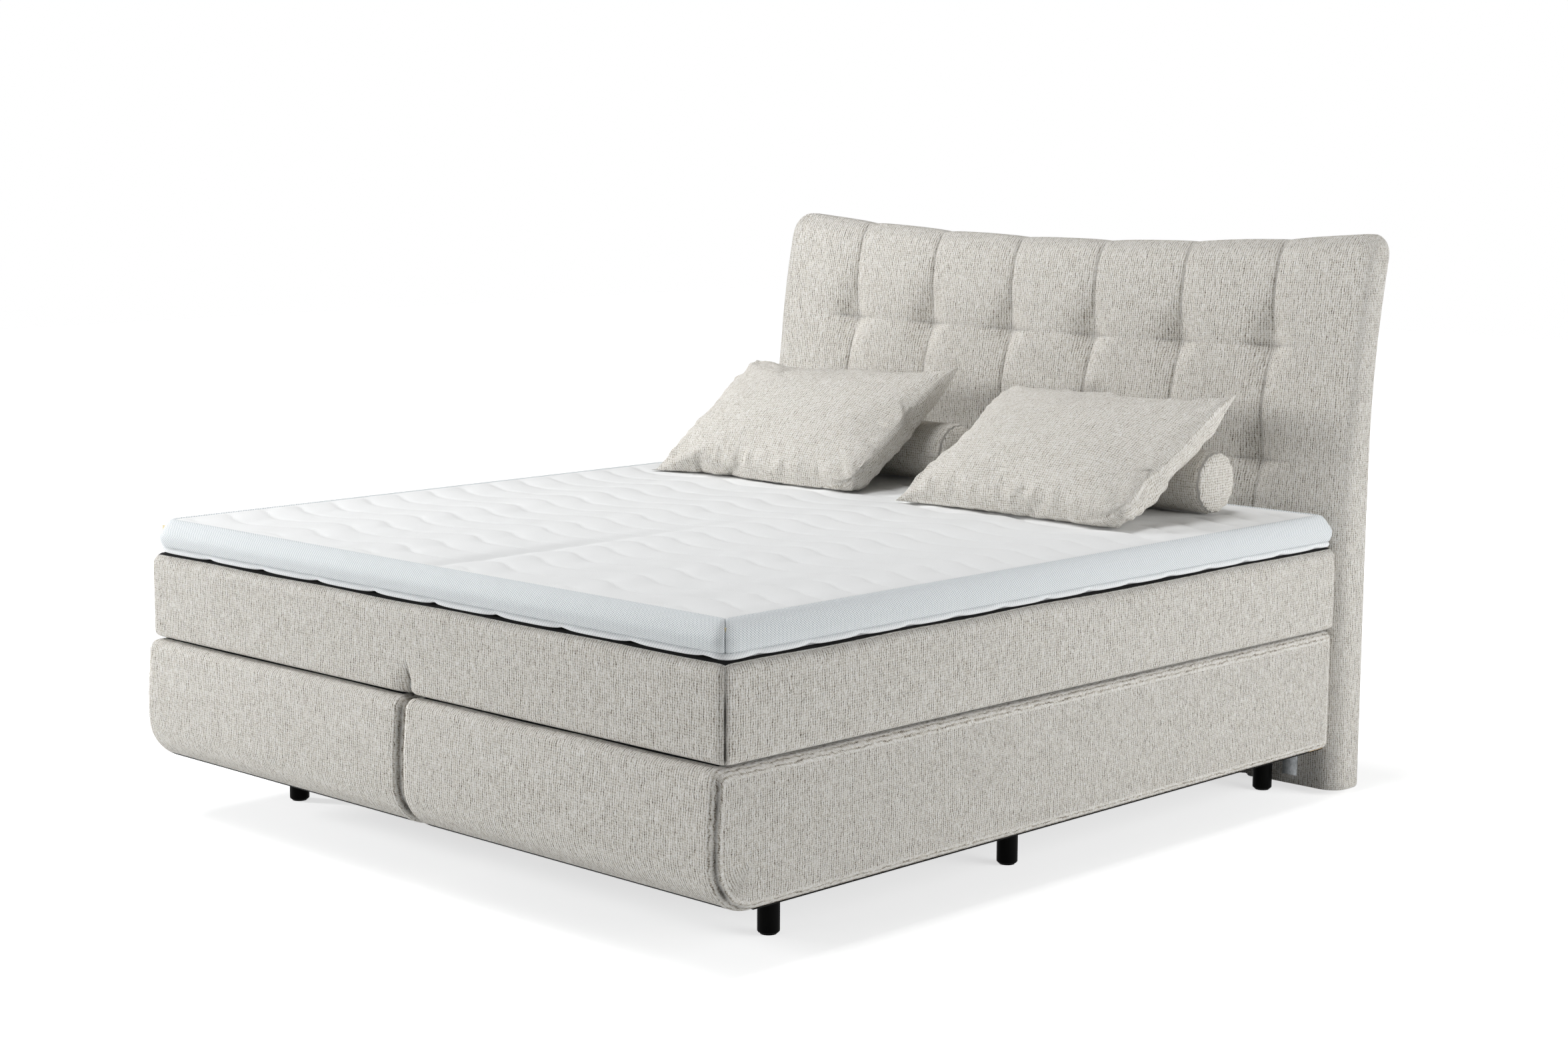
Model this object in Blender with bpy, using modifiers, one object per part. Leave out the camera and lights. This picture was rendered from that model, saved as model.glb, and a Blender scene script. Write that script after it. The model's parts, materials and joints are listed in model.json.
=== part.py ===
"""Two-unit box spring bed: spring boxes on legs, mattress, topper, bent headboard and cushions.

Metres, +Z up. The foot is at -Y and the head at +Y. The origin lies on the floor under the middle
of the bed. Depths along Y are first measured from the foot face, and the root empty then centres
the whole bed.
"""

import math

import bmesh
import bpy
from mathutils import Vector

# Clearances
GAP = 0.0003
OVERRUN = 0.03
WELD = 0.00001

# Spring boxes
BASE_WIDTH = 1.84
BASE_LENGTH = 2.03
BASE_HEIGHT = 0.282
UNIT_GAP = 0.004
COVER_WALL = 0.012
COVER_EDGE = 0.02
COVER_CORNER = 0.024
FOOT_ROUND = 0.10
FOOT_CROWN = 0.008
FOOT_CROWN_RISE = 0.15
FOOT_CROWN_ROUND = 0.5
FOOT_FOLD = 0.015
DUST_CLOTH = 0.002
RAIL_WIDTH = 0.025
RAIL_HEIGHT = 0.10
HEAD_RAIL_WIDTH = 0.056
CROSS_BAR_WIDTH = 0.08
CROSS_BAR_HEIGHT = 0.035
TIMBER_EDGE = 0.002
DECK_THICKNESS = 0.009
TOP_PAD = 0.02
PAD_EDGE = 0.006

# Legs
LEG_HEIGHT = 0.116
LEG_RADIUS = 0.0225
LEG_EDGE = 0.004
LEG_INSET = 0.159
LEG_FOOT_SETBACK = 0.307
LEG_MID_SETBACK = 1.037
STUD_RADIUS = 0.004
STUD_LENGTH = 0.028
BORE_CLEARANCE = 0.0006
BORE_END = 0.003

# Steel plates and brackets
PLATE_THICKNESS = 0.003
PLATE_LENGTH = 0.12
PLATE_WIDTH = 0.04
LINK_SETBACK = 0.45
BRACKET_WIDTH = 0.04
BRACKET_REACH = 0.07
BRACKET_DROP = 0.08
BRACKET_CLEARANCE = 0.006

# Headboard
HEAD_OVERHANG = 0.018
PANEL_COUNT = 7
HEAD_GAP = 0.005
HEAD_LIFT = 0.010
HEAD_TOP = 1.272
HEAD_TOP_RISE = 0.042
HEAD_TOP_CROWN = 0.007
HEAD_DEPTH_LOW = 0.112
HEAD_DEPTH_TOP = 0.085
THIN_START = 0.60
THIN_LENGTH = 0.40
BEND_START = 0.82
BEND_RADIUS = 1.55
HEAD_EDGE = 0.050
HEAD_BACK_EDGE = 0.030
HEAD_HEM_EDGE = 0.012
HEAD_RIM = 0.045
TUFT_ROW_TOP = 1.037
TUFT_ROW_SPACING = 0.264
SEAM_DIP = 0.020
ROW_DIP = 0.011
TUFT_DIP = 0.006
TUFT_REACH = 0.045
LINING_THICKNESS = 0.003
STILE_DEPTH = 0.022
STILE_WIDTH = 0.09
STILE_INSET = 0.27
HEAD_RAIL_HEIGHT = 0.08
BOARD_THICKNESS = 0.012
GLIDE_RADIUS = 0.016
GLIDE_EDGE = 0.002

# Mattress
MATTRESS_OVERHANG = 0.005
MATTRESS_SHORTFALL = 0.02
MATTRESS_HEIGHT = 0.1975
MATTRESS_SETBACK = 0.023
MATTRESS_CORNER = 0.028
MATTRESS_EDGE = 0.024
MATTRESS_WALL = 0.018
MATTRESS_BULGE = 0.004
TUCK_DEPTH = 0.008
TUCK_WIDTH = 0.05
COMFORT_LAYER = 0.03
UNDER_PANEL = 0.01

# Topper
TOPPER_INSET = 0.005
TOPPER_BORDER = 0.063
TOPPER_UNDERSIDE = 0.0155
TOPPER_CORNER = 0.05
TOPPER_EDGE = 0.014
TOPPER_WALL = 0.018
TOPPER_CROWN = 0.004
QUILT_DIP = 0.005
QUILT_SWAY = 0.027
UNDER_DIP = 0.005
UNDER_INSET = 0.002

# Cushions
PILLOW_WIDTH = 0.684
PILLOW_HEIGHT = 0.464
PILLOW_THICKNESS = 0.16
PILLOW_SEAM = 0.006
PILLOW_DRAW = 0.022
PILLOW_SIDE = 0.426
PILLOW_REACH = 0.59
PILLOW_SEAT = 0.005
BOLSTER_LENGTH = 0.70
BOLSTER_RADIUS = 0.073
BOLSTER_END = 0.03
BOLSTER_PUCKER = 0.008
BOLSTER_SIDE = 0.39

# Angles and counts
PILLOW_TILT = math.radians(32.9)
SMOOTH_ANGLE = math.radians(35.0)
FLAT_ANGLE = math.radians(0.01)
ARC_STEPS = 4
EDGE_STEPS = 2
TURN_STEPS = 20
LEG_STEPS = 18
BEND_STEPS = 12
FULLNESS_POWER = 0.31
QUILT_ROWS = 20
QUILT_WAVES = 6
CELLS_PER_WAVE = 4
UNDER_ROWS = 14
UNDER_WAVES = 9
TOUCH_STEPS = 16
SEAT_ROUNDS = 3

# Shares chosen by hand: cuts across one tufted panel, one cushion and one mattress face
PANEL_SHARES = (0.0, 0.09, 0.26, 0.5, 0.74, 0.91)
EDGE_CELL_SHARE = 0.96
CUSHION_CUT_SHARES = (0.0, 0.28, 0.52, 0.72, 0.87, 0.96)
MATTRESS_CUT_SHARES = (0.0, 0.3, 0.6, 0.85)
MATTRESS_RISE_SHARES = (-0.5, -0.1, 0.5)
TUCK_RISE_SHARE = -0.1
TUCK_FADE_SHARE = 0.3

# Sizes that follow from the ones above
HEAD_WIDTH = BASE_WIDTH + HEAD_OVERHANG * 2
PANEL_WIDTH = HEAD_WIDTH / PANEL_COUNT
MATTRESS_WIDTH = BASE_WIDTH + MATTRESS_OVERHANG * 2
MATTRESS_LENGTH = BASE_LENGTH - MATTRESS_SHORTFALL
TOPPER_WIDTH = MATTRESS_WIDTH - TOPPER_INSET * 2
TOPPER_LENGTH = MATTRESS_LENGTH - TOPPER_INSET * 2

# Levels above the floor
BOX_TOP = LEG_HEIGHT + BASE_HEIGHT
RAIL_BOTTOM = LEG_HEIGHT + DUST_CLOTH + GAP
RAIL_TOP = RAIL_BOTTOM + RAIL_HEIGHT
DECK_BOTTOM = RAIL_TOP + GAP
DECK_TOP = DECK_BOTTOM + DECK_THICKNESS
PAD_TOP = BOX_TOP - COVER_WALL - GAP
PAD_BOTTOM = PAD_TOP - TOP_PAD
MATTRESS_BOTTOM = BOX_TOP + GAP
MATTRESS_TOP = MATTRESS_BOTTOM + MATTRESS_HEIGHT
TOPPER_BOTTOM = MATTRESS_TOP + GAP
TOPPER_SEAM = TOPPER_BOTTOM + TOPPER_UNDERSIDE + GAP
TOPPER_TOP = TOPPER_SEAM + TOPPER_BORDER

# Depths from the foot face
CAVITY_FRONT = COVER_WALL + FOOT_CROWN
FOAM_BACK = FOOT_ROUND + FOOT_FOLD
FRAME_FRONT = FOAM_BACK + GAP
FRAME_BACK = BASE_LENGTH - COVER_WALL - GAP
HEAD_RAIL_FRONT = FRAME_BACK - HEAD_RAIL_WIDTH
LEG_HEAD_SETBACK = FRAME_BACK - HEAD_RAIL_WIDTH / 2
HEAD_FRONT = BASE_LENGTH + HEAD_GAP
MATTRESS_MIDDLE = MATTRESS_SETBACK + MATTRESS_LENGTH / 2
TOPPER_SETBACK = MATTRESS_SETBACK + TOPPER_INSET
TOPPER_MIDDLE = TOPPER_SETBACK + TOPPER_LENGTH / 2
PILLOW_SETBACK = HEAD_FRONT - PILLOW_REACH

# Half widths
UNIT_HALF = (BASE_WIDTH - UNIT_GAP) / 4
UNIT_CENTRE = UNIT_HALF + UNIT_GAP / 2
CAVITY_HALF = UNIT_HALF - COVER_WALL
FILL_HALF = CAVITY_HALF - GAP
LEG_OFFSET = UNIT_HALF - LEG_INSET
HEAD_HALF = HEAD_WIDTH / 2
STILE_CENTRE = HEAD_HALF - STILE_INSET

SIDES = (("left", -1), ("right", 1))


# Scene, materials and objects


def clear_scene():
    """Remove every object that the new file holds."""
    for thing in list(bpy.data.objects):
        bpy.data.objects.remove(thing, do_unlink=True)


def new_collection(name):
    """A collection linked to the scene."""
    collection = bpy.data.collections.new(name)
    bpy.context.scene.collection.children.link(collection)
    return collection


def new_material(name, colour, roughness, metallic=0.0):
    """A plain Principled material with a linear RGB colour."""
    material = bpy.data.materials.new(name)
    material.use_nodes = True
    shader = material.node_tree.nodes["Principled BSDF"]
    shader.inputs["Base Color"].default_value = (*colour, 1.0)
    shader.inputs["Roughness"].default_value = roughness
    shader.inputs["Metallic"].default_value = metallic
    return material


def upholstery():
    """Light greige chenille."""
    return new_material("upholstery", (0.64, 0.61, 0.56), 0.95)


def cushion_cloth():
    """Greige chenille of the loose cushions."""
    return new_material("cushion_cloth", (0.60, 0.57, 0.52), 0.95)


def topper_cloth():
    """Cool white knitted ticking."""
    return new_material("topper_cloth", (0.84, 0.86, 0.86), 0.9)


def foam():
    """Cream polyether foam."""
    return new_material("foam", (0.80, 0.74, 0.55), 0.9)


def spring_felt():
    """Pale non-woven pockets round the springs."""
    return new_material("spring_felt", (0.72, 0.72, 0.70), 0.9)


def timber():
    """Sawn softwood."""
    return new_material("timber", (0.60, 0.42, 0.24), 0.7)


def plywood():
    """Bent and flat plywood."""
    return new_material("plywood", (0.56, 0.40, 0.24), 0.65)


def black_cloth():
    """Black non-woven dust cloth."""
    return new_material("black_cloth", (0.02, 0.02, 0.02), 0.95)


def black_lacquer():
    """Black lacquered legs."""
    return new_material("black_lacquer", (0.012, 0.012, 0.012), 0.4)


def zinc_steel():
    """Zinc-plated steel plate."""
    return new_material("zinc_steel", (0.55, 0.56, 0.57), 0.4, 1.0)


def black_plastic():
    """Black moulded plastic."""
    return new_material("black_plastic", (0.02, 0.02, 0.02), 0.5)


def add_object(name, data, material, place=(0.0, 0.0, 0.0)):
    """An object of this name and mesh or curve, in the bed's collection."""
    thing = bpy.data.objects.new(name, data)
    thing.location = place
    BED.objects.link(thing)
    if material is not None:
        data.materials.append(material)
    return thing


def add_empty(name, place, parent=None):
    """A guide empty that carries the pieces moving with it."""
    guide = bpy.data.objects.new(name, None)
    guide.location = place
    GUIDES.objects.link(guide)
    if parent is not None:
        attach(guide, parent)
    return guide


def attach(thing, parent):
    """Parent a thing and keep its place, which was given from the foot face."""
    bpy.context.view_layer.update()
    thing.parent = parent
    thing.location = thing.location - parent.matrix_world.translation


def as_cutter(thing):
    """Move a thing to the cutters, where it is drawn as wire and left out of the bed."""
    BED.objects.unlink(thing)
    CUTTERS.objects.link(thing)
    thing.hide_render = True
    thing.display_type = "WIRE"
    return thing


def cut(target, cutter):
    """Take the cutter's volume out of the target."""
    as_cutter(cutter)
    boolean = target.modifiers.new("cut_" + cutter.name, "BOOLEAN")
    boolean.operation = "DIFFERENCE"
    boolean.solver = "EXACT"
    boolean.object = cutter


def mesh_from(shape, name):
    """A mesh data block from a bmesh, which is then freed."""
    bmesh.ops.recalc_face_normals(shape, faces=shape.faces[:])
    mesh = bpy.data.meshes.new(name)
    shape.to_mesh(mesh)
    shape.free()
    return mesh


def smooth(thing):
    """Shade a round piece smooth with its real edges kept sharp."""
    thing.data.shade_smooth()
    thing.data.set_sharp_from_angle(angle=SMOOTH_ANGLE)
    return thing


# Shapes


def block(name, low, high, material, edge=0.0):
    """A box between two corners, with its edges eased when edge is given."""
    low = Vector(low)
    high = Vector(high)
    shape = bmesh.new()
    bmesh.ops.create_cube(shape, size=1.0)
    bmesh.ops.scale(shape, vec=high - low, verts=shape.verts[:])
    thing = add_object(name, mesh_from(shape, name), material, (low + high) / 2)
    if edge > 0.0:
        bevel = thing.modifiers.new("eased_edges", "BEVEL")
        bevel.width = edge
        bevel.segments = 1
    return thing


def bore(name, radius, place, depth):
    """An upright round cutter that starts at its place and goes up."""
    shape = bmesh.new()
    bmesh.ops.create_cone(
        shape, cap_ends=True, segments=TURN_STEPS, radius1=radius, radius2=radius, depth=depth
    )
    centre = Vector(place) + Vector((0.0, 0.0, depth / 2))
    return add_object(name, mesh_from(shape, name), None, centre)


def rounded_outline(corners):
    """Outline points through corners given as depth, height and radius of the rounding."""
    points = []
    for index, (depth, height, radius) in enumerate(corners):
        here = Vector((depth, height))
        before = (Vector(corners[index - 1][:2]) - here).normalized()
        after = (Vector(corners[(index + 1) % len(corners)][:2]) - here).normalized()
        if radius <= 0.0:
            points.append(here)
            continue
        half = before.angle(after) / 2
        centre = here + (before + after).normalized() * radius / math.sin(half)
        start = here + before * radius / math.tan(half) - centre
        end = here + after * radius / math.tan(half) - centre
        sweep = start.angle(end)
        for step in range(ARC_STEPS + 1):
            turn = sweep * step / ARC_STEPS
            spoke = (start * math.sin(sweep - turn) + end * math.sin(turn)) / math.sin(sweep)
            points.append(centre + spoke)
    return points


def prism(name, outline, centre_x, half_width, material, edge=0.0):
    """A side outline in depth and height, drawn across the bed, with its side edges rounded."""
    curve = bpy.data.curves.new(name, "CURVE")
    curve.dimensions = "2D"
    curve.fill_mode = "BOTH"
    curve.extrude = half_width - edge
    curve.bevel_depth = edge
    curve.bevel_resolution = EDGE_STEPS
    spline = curve.splines.new("POLY")
    spline.points.add(len(outline) - 1)
    for point, (depth, height) in zip(spline.points, outline):
        point.co = (depth, height, 0.0, 1.0)
    spline.use_cyclic_u = True
    thing = add_object(name, curve, material, (centre_x, 0.0, 0.0))
    thing.rotation_euler = (math.pi / 2, 0.0, math.pi / 2)
    return thing


def as_mesh(thing):
    """The same piece as a welded mesh, so that it can be cut or can cut."""
    name = thing.name
    bpy.context.view_layer.update()
    evaluated = thing.evaluated_get(bpy.context.evaluated_depsgraph_get())
    mesh = bpy.data.meshes.new_from_object(evaluated)
    welded = bmesh.new()
    welded.from_mesh(mesh)
    bmesh.ops.remove_doubles(welded, verts=welded.verts[:], dist=WELD)
    welded.to_mesh(mesh)
    welded.free()
    place = thing.matrix_world.copy()
    bpy.data.objects.remove(thing, do_unlink=True)
    solid = bpy.data.objects.new(name, mesh)
    solid.matrix_world = place
    BED.objects.link(solid)
    return solid


def turned(name, profile, material, steps, place):
    """A profile of radius and height, run down its outer side and turned about Z."""
    mesh = bpy.data.meshes.new(name)
    points = [(radius, 0.0, height) for radius, height in profile]
    edges = [(index, index + 1) for index in range(len(points) - 1)]
    mesh.from_pydata(points, edges, [])
    thing = add_object(name, mesh, material, place)
    screw = thing.modifiers.new("turn", "SCREW")
    screw.steps = steps
    screw.render_steps = steps
    screw.use_merge_vertices = True
    screw.merge_threshold = WELD
    screw.use_smooth_shade = True
    return thing


def sliced_block(x_cuts, y_cuts, z_cuts):
    """A cube from -1 to 1 sliced at the given shares along its three axes."""
    shape = bmesh.new()
    bmesh.ops.create_cube(shape, size=2.0)
    for axis, cuts in enumerate((x_cuts, y_cuts, z_cuts)):
        normal = Vector((0.0, 0.0, 0.0))
        normal[axis] = 1.0
        for share in cuts:
            everything = shape.verts[:] + shape.edges[:] + shape.faces[:]
            bmesh.ops.bisect_plane(
                shape, geom=everything, dist=WELD, plane_co=normal * share, plane_no=normal
            )
    return shape


def on_side(first, second):
    """Whether both ends of an edge lie on one outer face of the unit block."""
    return abs(first) > 1.0 - WELD and abs(first - second) < WELD


def whole(s, t, h):
    """The full rounding on every outer edge of a block."""
    return 1.0


def formed(name, shape, rule, material, edge, rounding=whole):
    """A sliced block placed point by point by a rule, its outer edges rounded by their shares."""
    weight = shape.edges.layers.float.new("bevel_weight_edge")
    for line in shape.edges:
        start, end = (vert.co for vert in line.verts)
        sides = sum(on_side(start[axis], end[axis]) for axis in range(3))
        line[weight] = rounding(*((start + end) / 2)) if sides > 1 else 0.0
    for vert in shape.verts:
        vert.co = rule(*vert.co)
    bmesh.ops.dissolve_limit(
        shape, angle_limit=FLAT_ANGLE, verts=shape.verts[:], edges=shape.edges[:]
    )
    thing = smooth(add_object(name, mesh_from(shape, name), material))
    if edge > 0.0:
        bevel = thing.modifiers.new("rounded_edges", "BEVEL")
        bevel.width = edge
        bevel.segments = EDGE_STEPS
        bevel.limit_method = "WEIGHT"
    return thing


def mirrored(shares):
    """Shares from the middle outwards, made symmetric and sorted."""
    return sorted({share for share in shares} | {-share for share in shares})


def plan_point(s, t, half_x, half_y, radius):
    """A point of the square plan, carried over to a rectangle with round corners."""
    core_x = half_x - radius
    core_y = half_y - radius
    x = s * half_x
    y = t * half_y
    over_x = abs(x) - core_x
    over_y = abs(y) - core_y
    if over_x <= 0.0 or over_y <= 0.0:
        return x, y
    reach = max(over_x, over_y) / math.hypot(over_x, over_y)
    return math.copysign(core_x + over_x * reach, x), math.copysign(core_y + over_y * reach, y)


# Spring boxes


def cover_outline(inset):
    """Side outline of a box, drawn in by an inset that the edge rounding gives back."""
    low = LEG_HEIGHT + inset
    high = BOX_TOP - inset
    corner = COVER_CORNER - inset
    return rounded_outline([
        (inset, low, FOOT_ROUND - inset),
        (BASE_LENGTH - inset, low, corner),
        (BASE_LENGTH - inset, high, corner),
        (inset + FOOT_CROWN, high, corner),
        (inset, LEG_HEIGHT + FOOT_CROWN_RISE, FOOT_CROWN_ROUND),
    ])


def cavity_outline():
    """Side outline of the room inside a cover, open below behind the foot fold."""
    wall_low = LEG_HEIGHT + COVER_WALL
    below = LEG_HEIGHT - OVERRUN
    return rounded_outline([
        (CAVITY_FRONT, wall_low, FOOT_ROUND - CAVITY_FRONT),
        (FOAM_BACK, wall_low, 0.0),
        (FOAM_BACK, below, 0.0),
        (BASE_LENGTH - COVER_WALL, below, 0.0),
        (BASE_LENGTH - COVER_WALL, BOX_TOP - COVER_WALL, 0.0),
        (CAVITY_FRONT, BOX_TOP - COVER_WALL, 0.0),
    ])


def box_cover(label, centre, material):
    """Upholstery shell of one box, with a rounded foot and open below."""
    name = label + "_cover"
    cover = as_mesh(prism(name, cover_outline(COVER_EDGE), centre, UNIT_HALF, material, COVER_EDGE))
    cavity = as_mesh(prism(label + "_cavity", cavity_outline(), centre, CAVITY_HALF, None))
    cut(cover, cavity)
    return [smooth(cover), cavity]


def foot_foam(label, centre, material):
    """Foam bolster that fills the rounded foot of one box."""
    front = CAVITY_FRONT + GAP
    low = LEG_HEIGHT + COVER_WALL + GAP
    outline = rounded_outline([
        (front, low, FOOT_ROUND - front),
        (FOAM_BACK, low, 0.0),
        (FOAM_BACK, PAD_TOP, 0.0),
        (front, PAD_TOP, 0.0),
    ])
    return [prism(label + "_foot_foam", outline, centre, FILL_HALF, material)]


def dust_cover(label, centre, stations, material):
    """Thin cloth under one box, with a hole for each leg stud."""
    low = (centre - FILL_HALF, FRAME_FRONT, LEG_HEIGHT)
    high = (centre + FILL_HALF, FRAME_BACK, LEG_HEIGHT + DUST_CLOTH)
    cloth = block(label + "_dust_cover", low, high, material)
    pieces = [cloth]
    for number, (x, depth) in enumerate(stations):
        name = f"{label}_dust_hole_{number}"
        place = (x, depth, LEG_HEIGHT - OVERRUN)
        hole = bore(name, STUD_RADIUS + BORE_CLEARANCE, place, OVERRUN * 2)
        cut(cloth, hole)
        pieces.append(hole)
    return pieces


def box_rails(label, centre, side, material):
    """Two side rails and the foot rail between them."""
    pieces = []
    for word, direction in (("outer", side), ("inner", -side)):
        face = centre + direction * FILL_HALF
        inside = face - direction * RAIL_WIDTH
        low = (min(face, inside), FRAME_FRONT, RAIL_BOTTOM)
        high = (max(face, inside), HEAD_RAIL_FRONT - GAP, RAIL_TOP)
        pieces.append(block(f"{label}_side_rail_{word}", low, high, material, TIMBER_EDGE))
    between = FILL_HALF - RAIL_WIDTH - GAP
    low = (centre - between, FRAME_FRONT, RAIL_BOTTOM)
    high = (centre + between, FRAME_FRONT + RAIL_WIDTH, RAIL_TOP)
    pieces.append(block(label + "_foot_rail", low, high, material, TIMBER_EDGE))
    return pieces


def leg_bar(name, low, high, stations, material):
    """A timber across the box, bored from below for the leg studs."""
    bar = block(name, low, high, material)
    pieces = [bar]
    for number, (x, depth) in enumerate(stations):
        place = (x, depth, LEG_HEIGHT - OVERRUN)
        deep = OVERRUN + STUD_LENGTH + BORE_END
        hole = bore(f"{name}_bore_{number}", STUD_RADIUS + BORE_CLEARANCE, place, deep)
        cut(bar, hole)
        pieces.append(hole)
    return pieces


def box_bars(label, centre, stations, material):
    """Cross bars at the foot and the middle, and the wide head rail, each over its legs."""
    between = FILL_HALF - RAIL_WIDTH - GAP
    pieces = []
    for word, depth in (("foot", LEG_FOOT_SETBACK), ("mid", LEG_MID_SETBACK)):
        low = (centre - between, depth - CROSS_BAR_WIDTH / 2, RAIL_BOTTOM)
        high = (centre + between, depth + CROSS_BAR_WIDTH / 2, RAIL_BOTTOM + CROSS_BAR_HEIGHT)
        here = [place for place in stations if place[1] == depth]
        pieces += leg_bar(f"{label}_cross_bar_{word}", low, high, here, material)
    low = (centre - FILL_HALF, HEAD_RAIL_FRONT, RAIL_BOTTOM)
    high = (centre + FILL_HALF, FRAME_BACK, RAIL_TOP)
    here = [place for place in stations if place[1] == LEG_HEAD_SETBACK]
    return pieces + leg_bar(label + "_head_rail", low, high, here, material)


def box_layers(label, centre, board, felt, soft):
    """Deck board, pocket springs and top pad, stacked behind the foot foam."""
    pieces = []
    layers = (
        ("deck_board", DECK_BOTTOM, DECK_TOP, board, TIMBER_EDGE),
        ("spring_core", DECK_TOP + GAP, PAD_BOTTOM - GAP, felt, PAD_EDGE),
        ("top_pad", PAD_BOTTOM, PAD_TOP, soft, PAD_EDGE),
    )
    for word, bottom, top, material, edge in layers:
        low = (centre - FILL_HALF, FRAME_FRONT, bottom)
        high = (centre + FILL_HALF, FRAME_BACK, top)
        pieces.append(block(f"{label}_{word}", low, high, material, edge))
    return pieces


def leg_stations(centre, side):
    """Places of one box's legs: three on the outer side, two on the inner side."""
    outer = centre + side * LEG_OFFSET
    inner = centre - side * LEG_OFFSET
    return (
        ("leg_outer_foot", outer, LEG_FOOT_SETBACK),
        ("leg_outer_mid", outer, LEG_MID_SETBACK),
        ("leg_outer_head", outer, LEG_HEAD_SETBACK),
        ("leg_inner_mid", inner, LEG_MID_SETBACK),
        ("leg_inner_head", inner, LEG_HEAD_SETBACK),
    )


def leg_profile():
    """Stud, flat top, straight side and a small round at the floor."""
    top = LEG_HEIGHT - GAP
    profile = [(0.0, top + STUD_LENGTH), (STUD_RADIUS, top + STUD_LENGTH), (STUD_RADIUS, top)]
    profile.append((LEG_RADIUS, top))
    for step in range(EDGE_STEPS + 1):
        turn = math.pi / 2 * step / EDGE_STEPS
        out = LEG_RADIUS - LEG_EDGE + LEG_EDGE * math.cos(turn)
        profile.append((out, LEG_EDGE - LEG_EDGE * math.sin(turn)))
    profile.append((0.0, 0.0))
    return profile


def spring_box(label, side, finishes):
    """One whole box with its legs."""
    centre = side * UNIT_CENTRE
    named = leg_stations(centre, side)
    stations = [(x, depth) for _, x, depth in named]
    pieces = box_cover(label, centre, finishes["upholstery"])
    pieces += foot_foam(label, centre, finishes["foam"])
    pieces += dust_cover(label, centre, stations, finishes["black_cloth"])
    pieces += box_rails(label, centre, side, finishes["timber"])
    pieces += box_bars(label, centre, stations, finishes["timber"])
    pieces += box_layers(
        label, centre, finishes["plywood"], finishes["spring_felt"], finishes["foam"]
    )
    for word, x, depth in named:
        place = (x, depth, 0.0)
        leg = turned(f"{label}_{word}", leg_profile(), finishes["black_lacquer"], LEG_STEPS, place)
        pieces.append(leg)
    return pieces


def link_plates(material):
    """Steel plates that tie the two boxes together from below."""
    pieces = []
    top = LEG_HEIGHT - GAP
    for word, depth in (("foot", LINK_SETBACK), ("head", BASE_LENGTH - LINK_SETBACK)):
        low = (-PLATE_LENGTH / 2, depth - PLATE_WIDTH / 2, top - PLATE_THICKNESS)
        high = (PLATE_LENGTH / 2, depth + PLATE_WIDTH / 2, top)
        pieces.append(block("link_plate_" + word, low, high, material))
    return pieces


# Headboard


def bend(height):
    """How far the back has bent away from the upright at a height."""
    over = max(0.0, height - BEND_START)
    return BEND_RADIUS - math.sqrt(BEND_RADIUS ** 2 - over ** 2)


def ease(share):
    """Smooth step from 0 to 1."""
    share = min(1.0, max(0.0, share))
    return share * share * (3.0 - 2.0 * share)


def head_depth(height):
    """Thickness of the headboard at a height."""
    thin = ease((height - THIN_START) / THIN_LENGTH)
    return HEAD_DEPTH_LOW - (HEAD_DEPTH_LOW - HEAD_DEPTH_TOP) * thin


def head_back(height):
    """Depth of the back face from the foot at a height."""
    return HEAD_FRONT + HEAD_DEPTH_LOW + bend(height)


def head_panel_rise(x, height):
    """How much the concave top edge and its seams lift a point of the headboard."""
    span = HEAD_TOP - (TUFT_ROW_TOP - TUFT_ROW_SPACING)
    weight = max(0.0, height - TUFT_ROW_TOP + TUFT_ROW_SPACING) / span
    crown = max(0.0, (height - TUFT_ROW_TOP) / (HEAD_TOP - TUFT_ROW_TOP))
    rise = HEAD_TOP_RISE * (x / HEAD_HALF) ** 2 * weight ** 2
    return rise + HEAD_TOP_CROWN * fullness(seam_distance(x)) * crown ** 3


def seam_distance(x):
    """Distance to the nearest upright seam, as a share of half a panel."""
    column = x / PANEL_WIDTH + PANEL_COUNT / 2
    nearest = min(PANEL_COUNT - 1, max(1, round(column)))
    return min(1.0, abs(column - nearest) * 2)


def row_distance(height):
    """Distance to the nearest tuft row, as a share of half the row pitch."""
    row = min(0, round((height - TUFT_ROW_TOP) / TUFT_ROW_SPACING))
    return min(1.0, abs((height - TUFT_ROW_TOP) / TUFT_ROW_SPACING - row) * 2)


def fullness(share):
    """Round profile of padding from a seam, at 0, to the crown, at 1."""
    return math.sqrt(max(0.0, 1.0 - (1.0 - share) ** 2))


def tuft_dip(x, height):
    """Depth of the seams and tufts below the crown of the padding."""
    across = seam_distance(x)
    along = row_distance(height)
    dip = SEAM_DIP * (1.0 - fullness(across)) + ROW_DIP * (1.0 - fullness(along))
    radius = math.hypot(across * PANEL_WIDTH / 2, along * TUFT_ROW_SPACING / 2)
    return dip + TUFT_DIP * math.exp(-((radius / TUFT_REACH) ** 2))


def cushion_point(s, t, h):
    """Headboard upholstery: a unit block bent back, tufted in front and concave along the top."""
    x = s * HEAD_HALF
    level = HEAD_LIFT + (h + 1.0) / 2 * (HEAD_TOP - HEAD_LIFT)
    height = level + head_panel_rise(x, level)
    depth = head_back(level)
    if t < 0.0:
        inside = abs(s) < 1.0 and abs(h) < 1.0
        depth -= head_depth(level) - (tuft_dip(x, level) if inside else 0.0)
    return x, depth, height


def cushion_rounding(s, t, h):
    """Share of the front edge's rounding: full in front, less behind and at the hem."""
    if h <= -1.0:
        return HEAD_HEM_EDGE / HEAD_EDGE
    return 1.0 if t <= -1.0 else HEAD_BACK_EDGE / HEAD_EDGE


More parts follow.
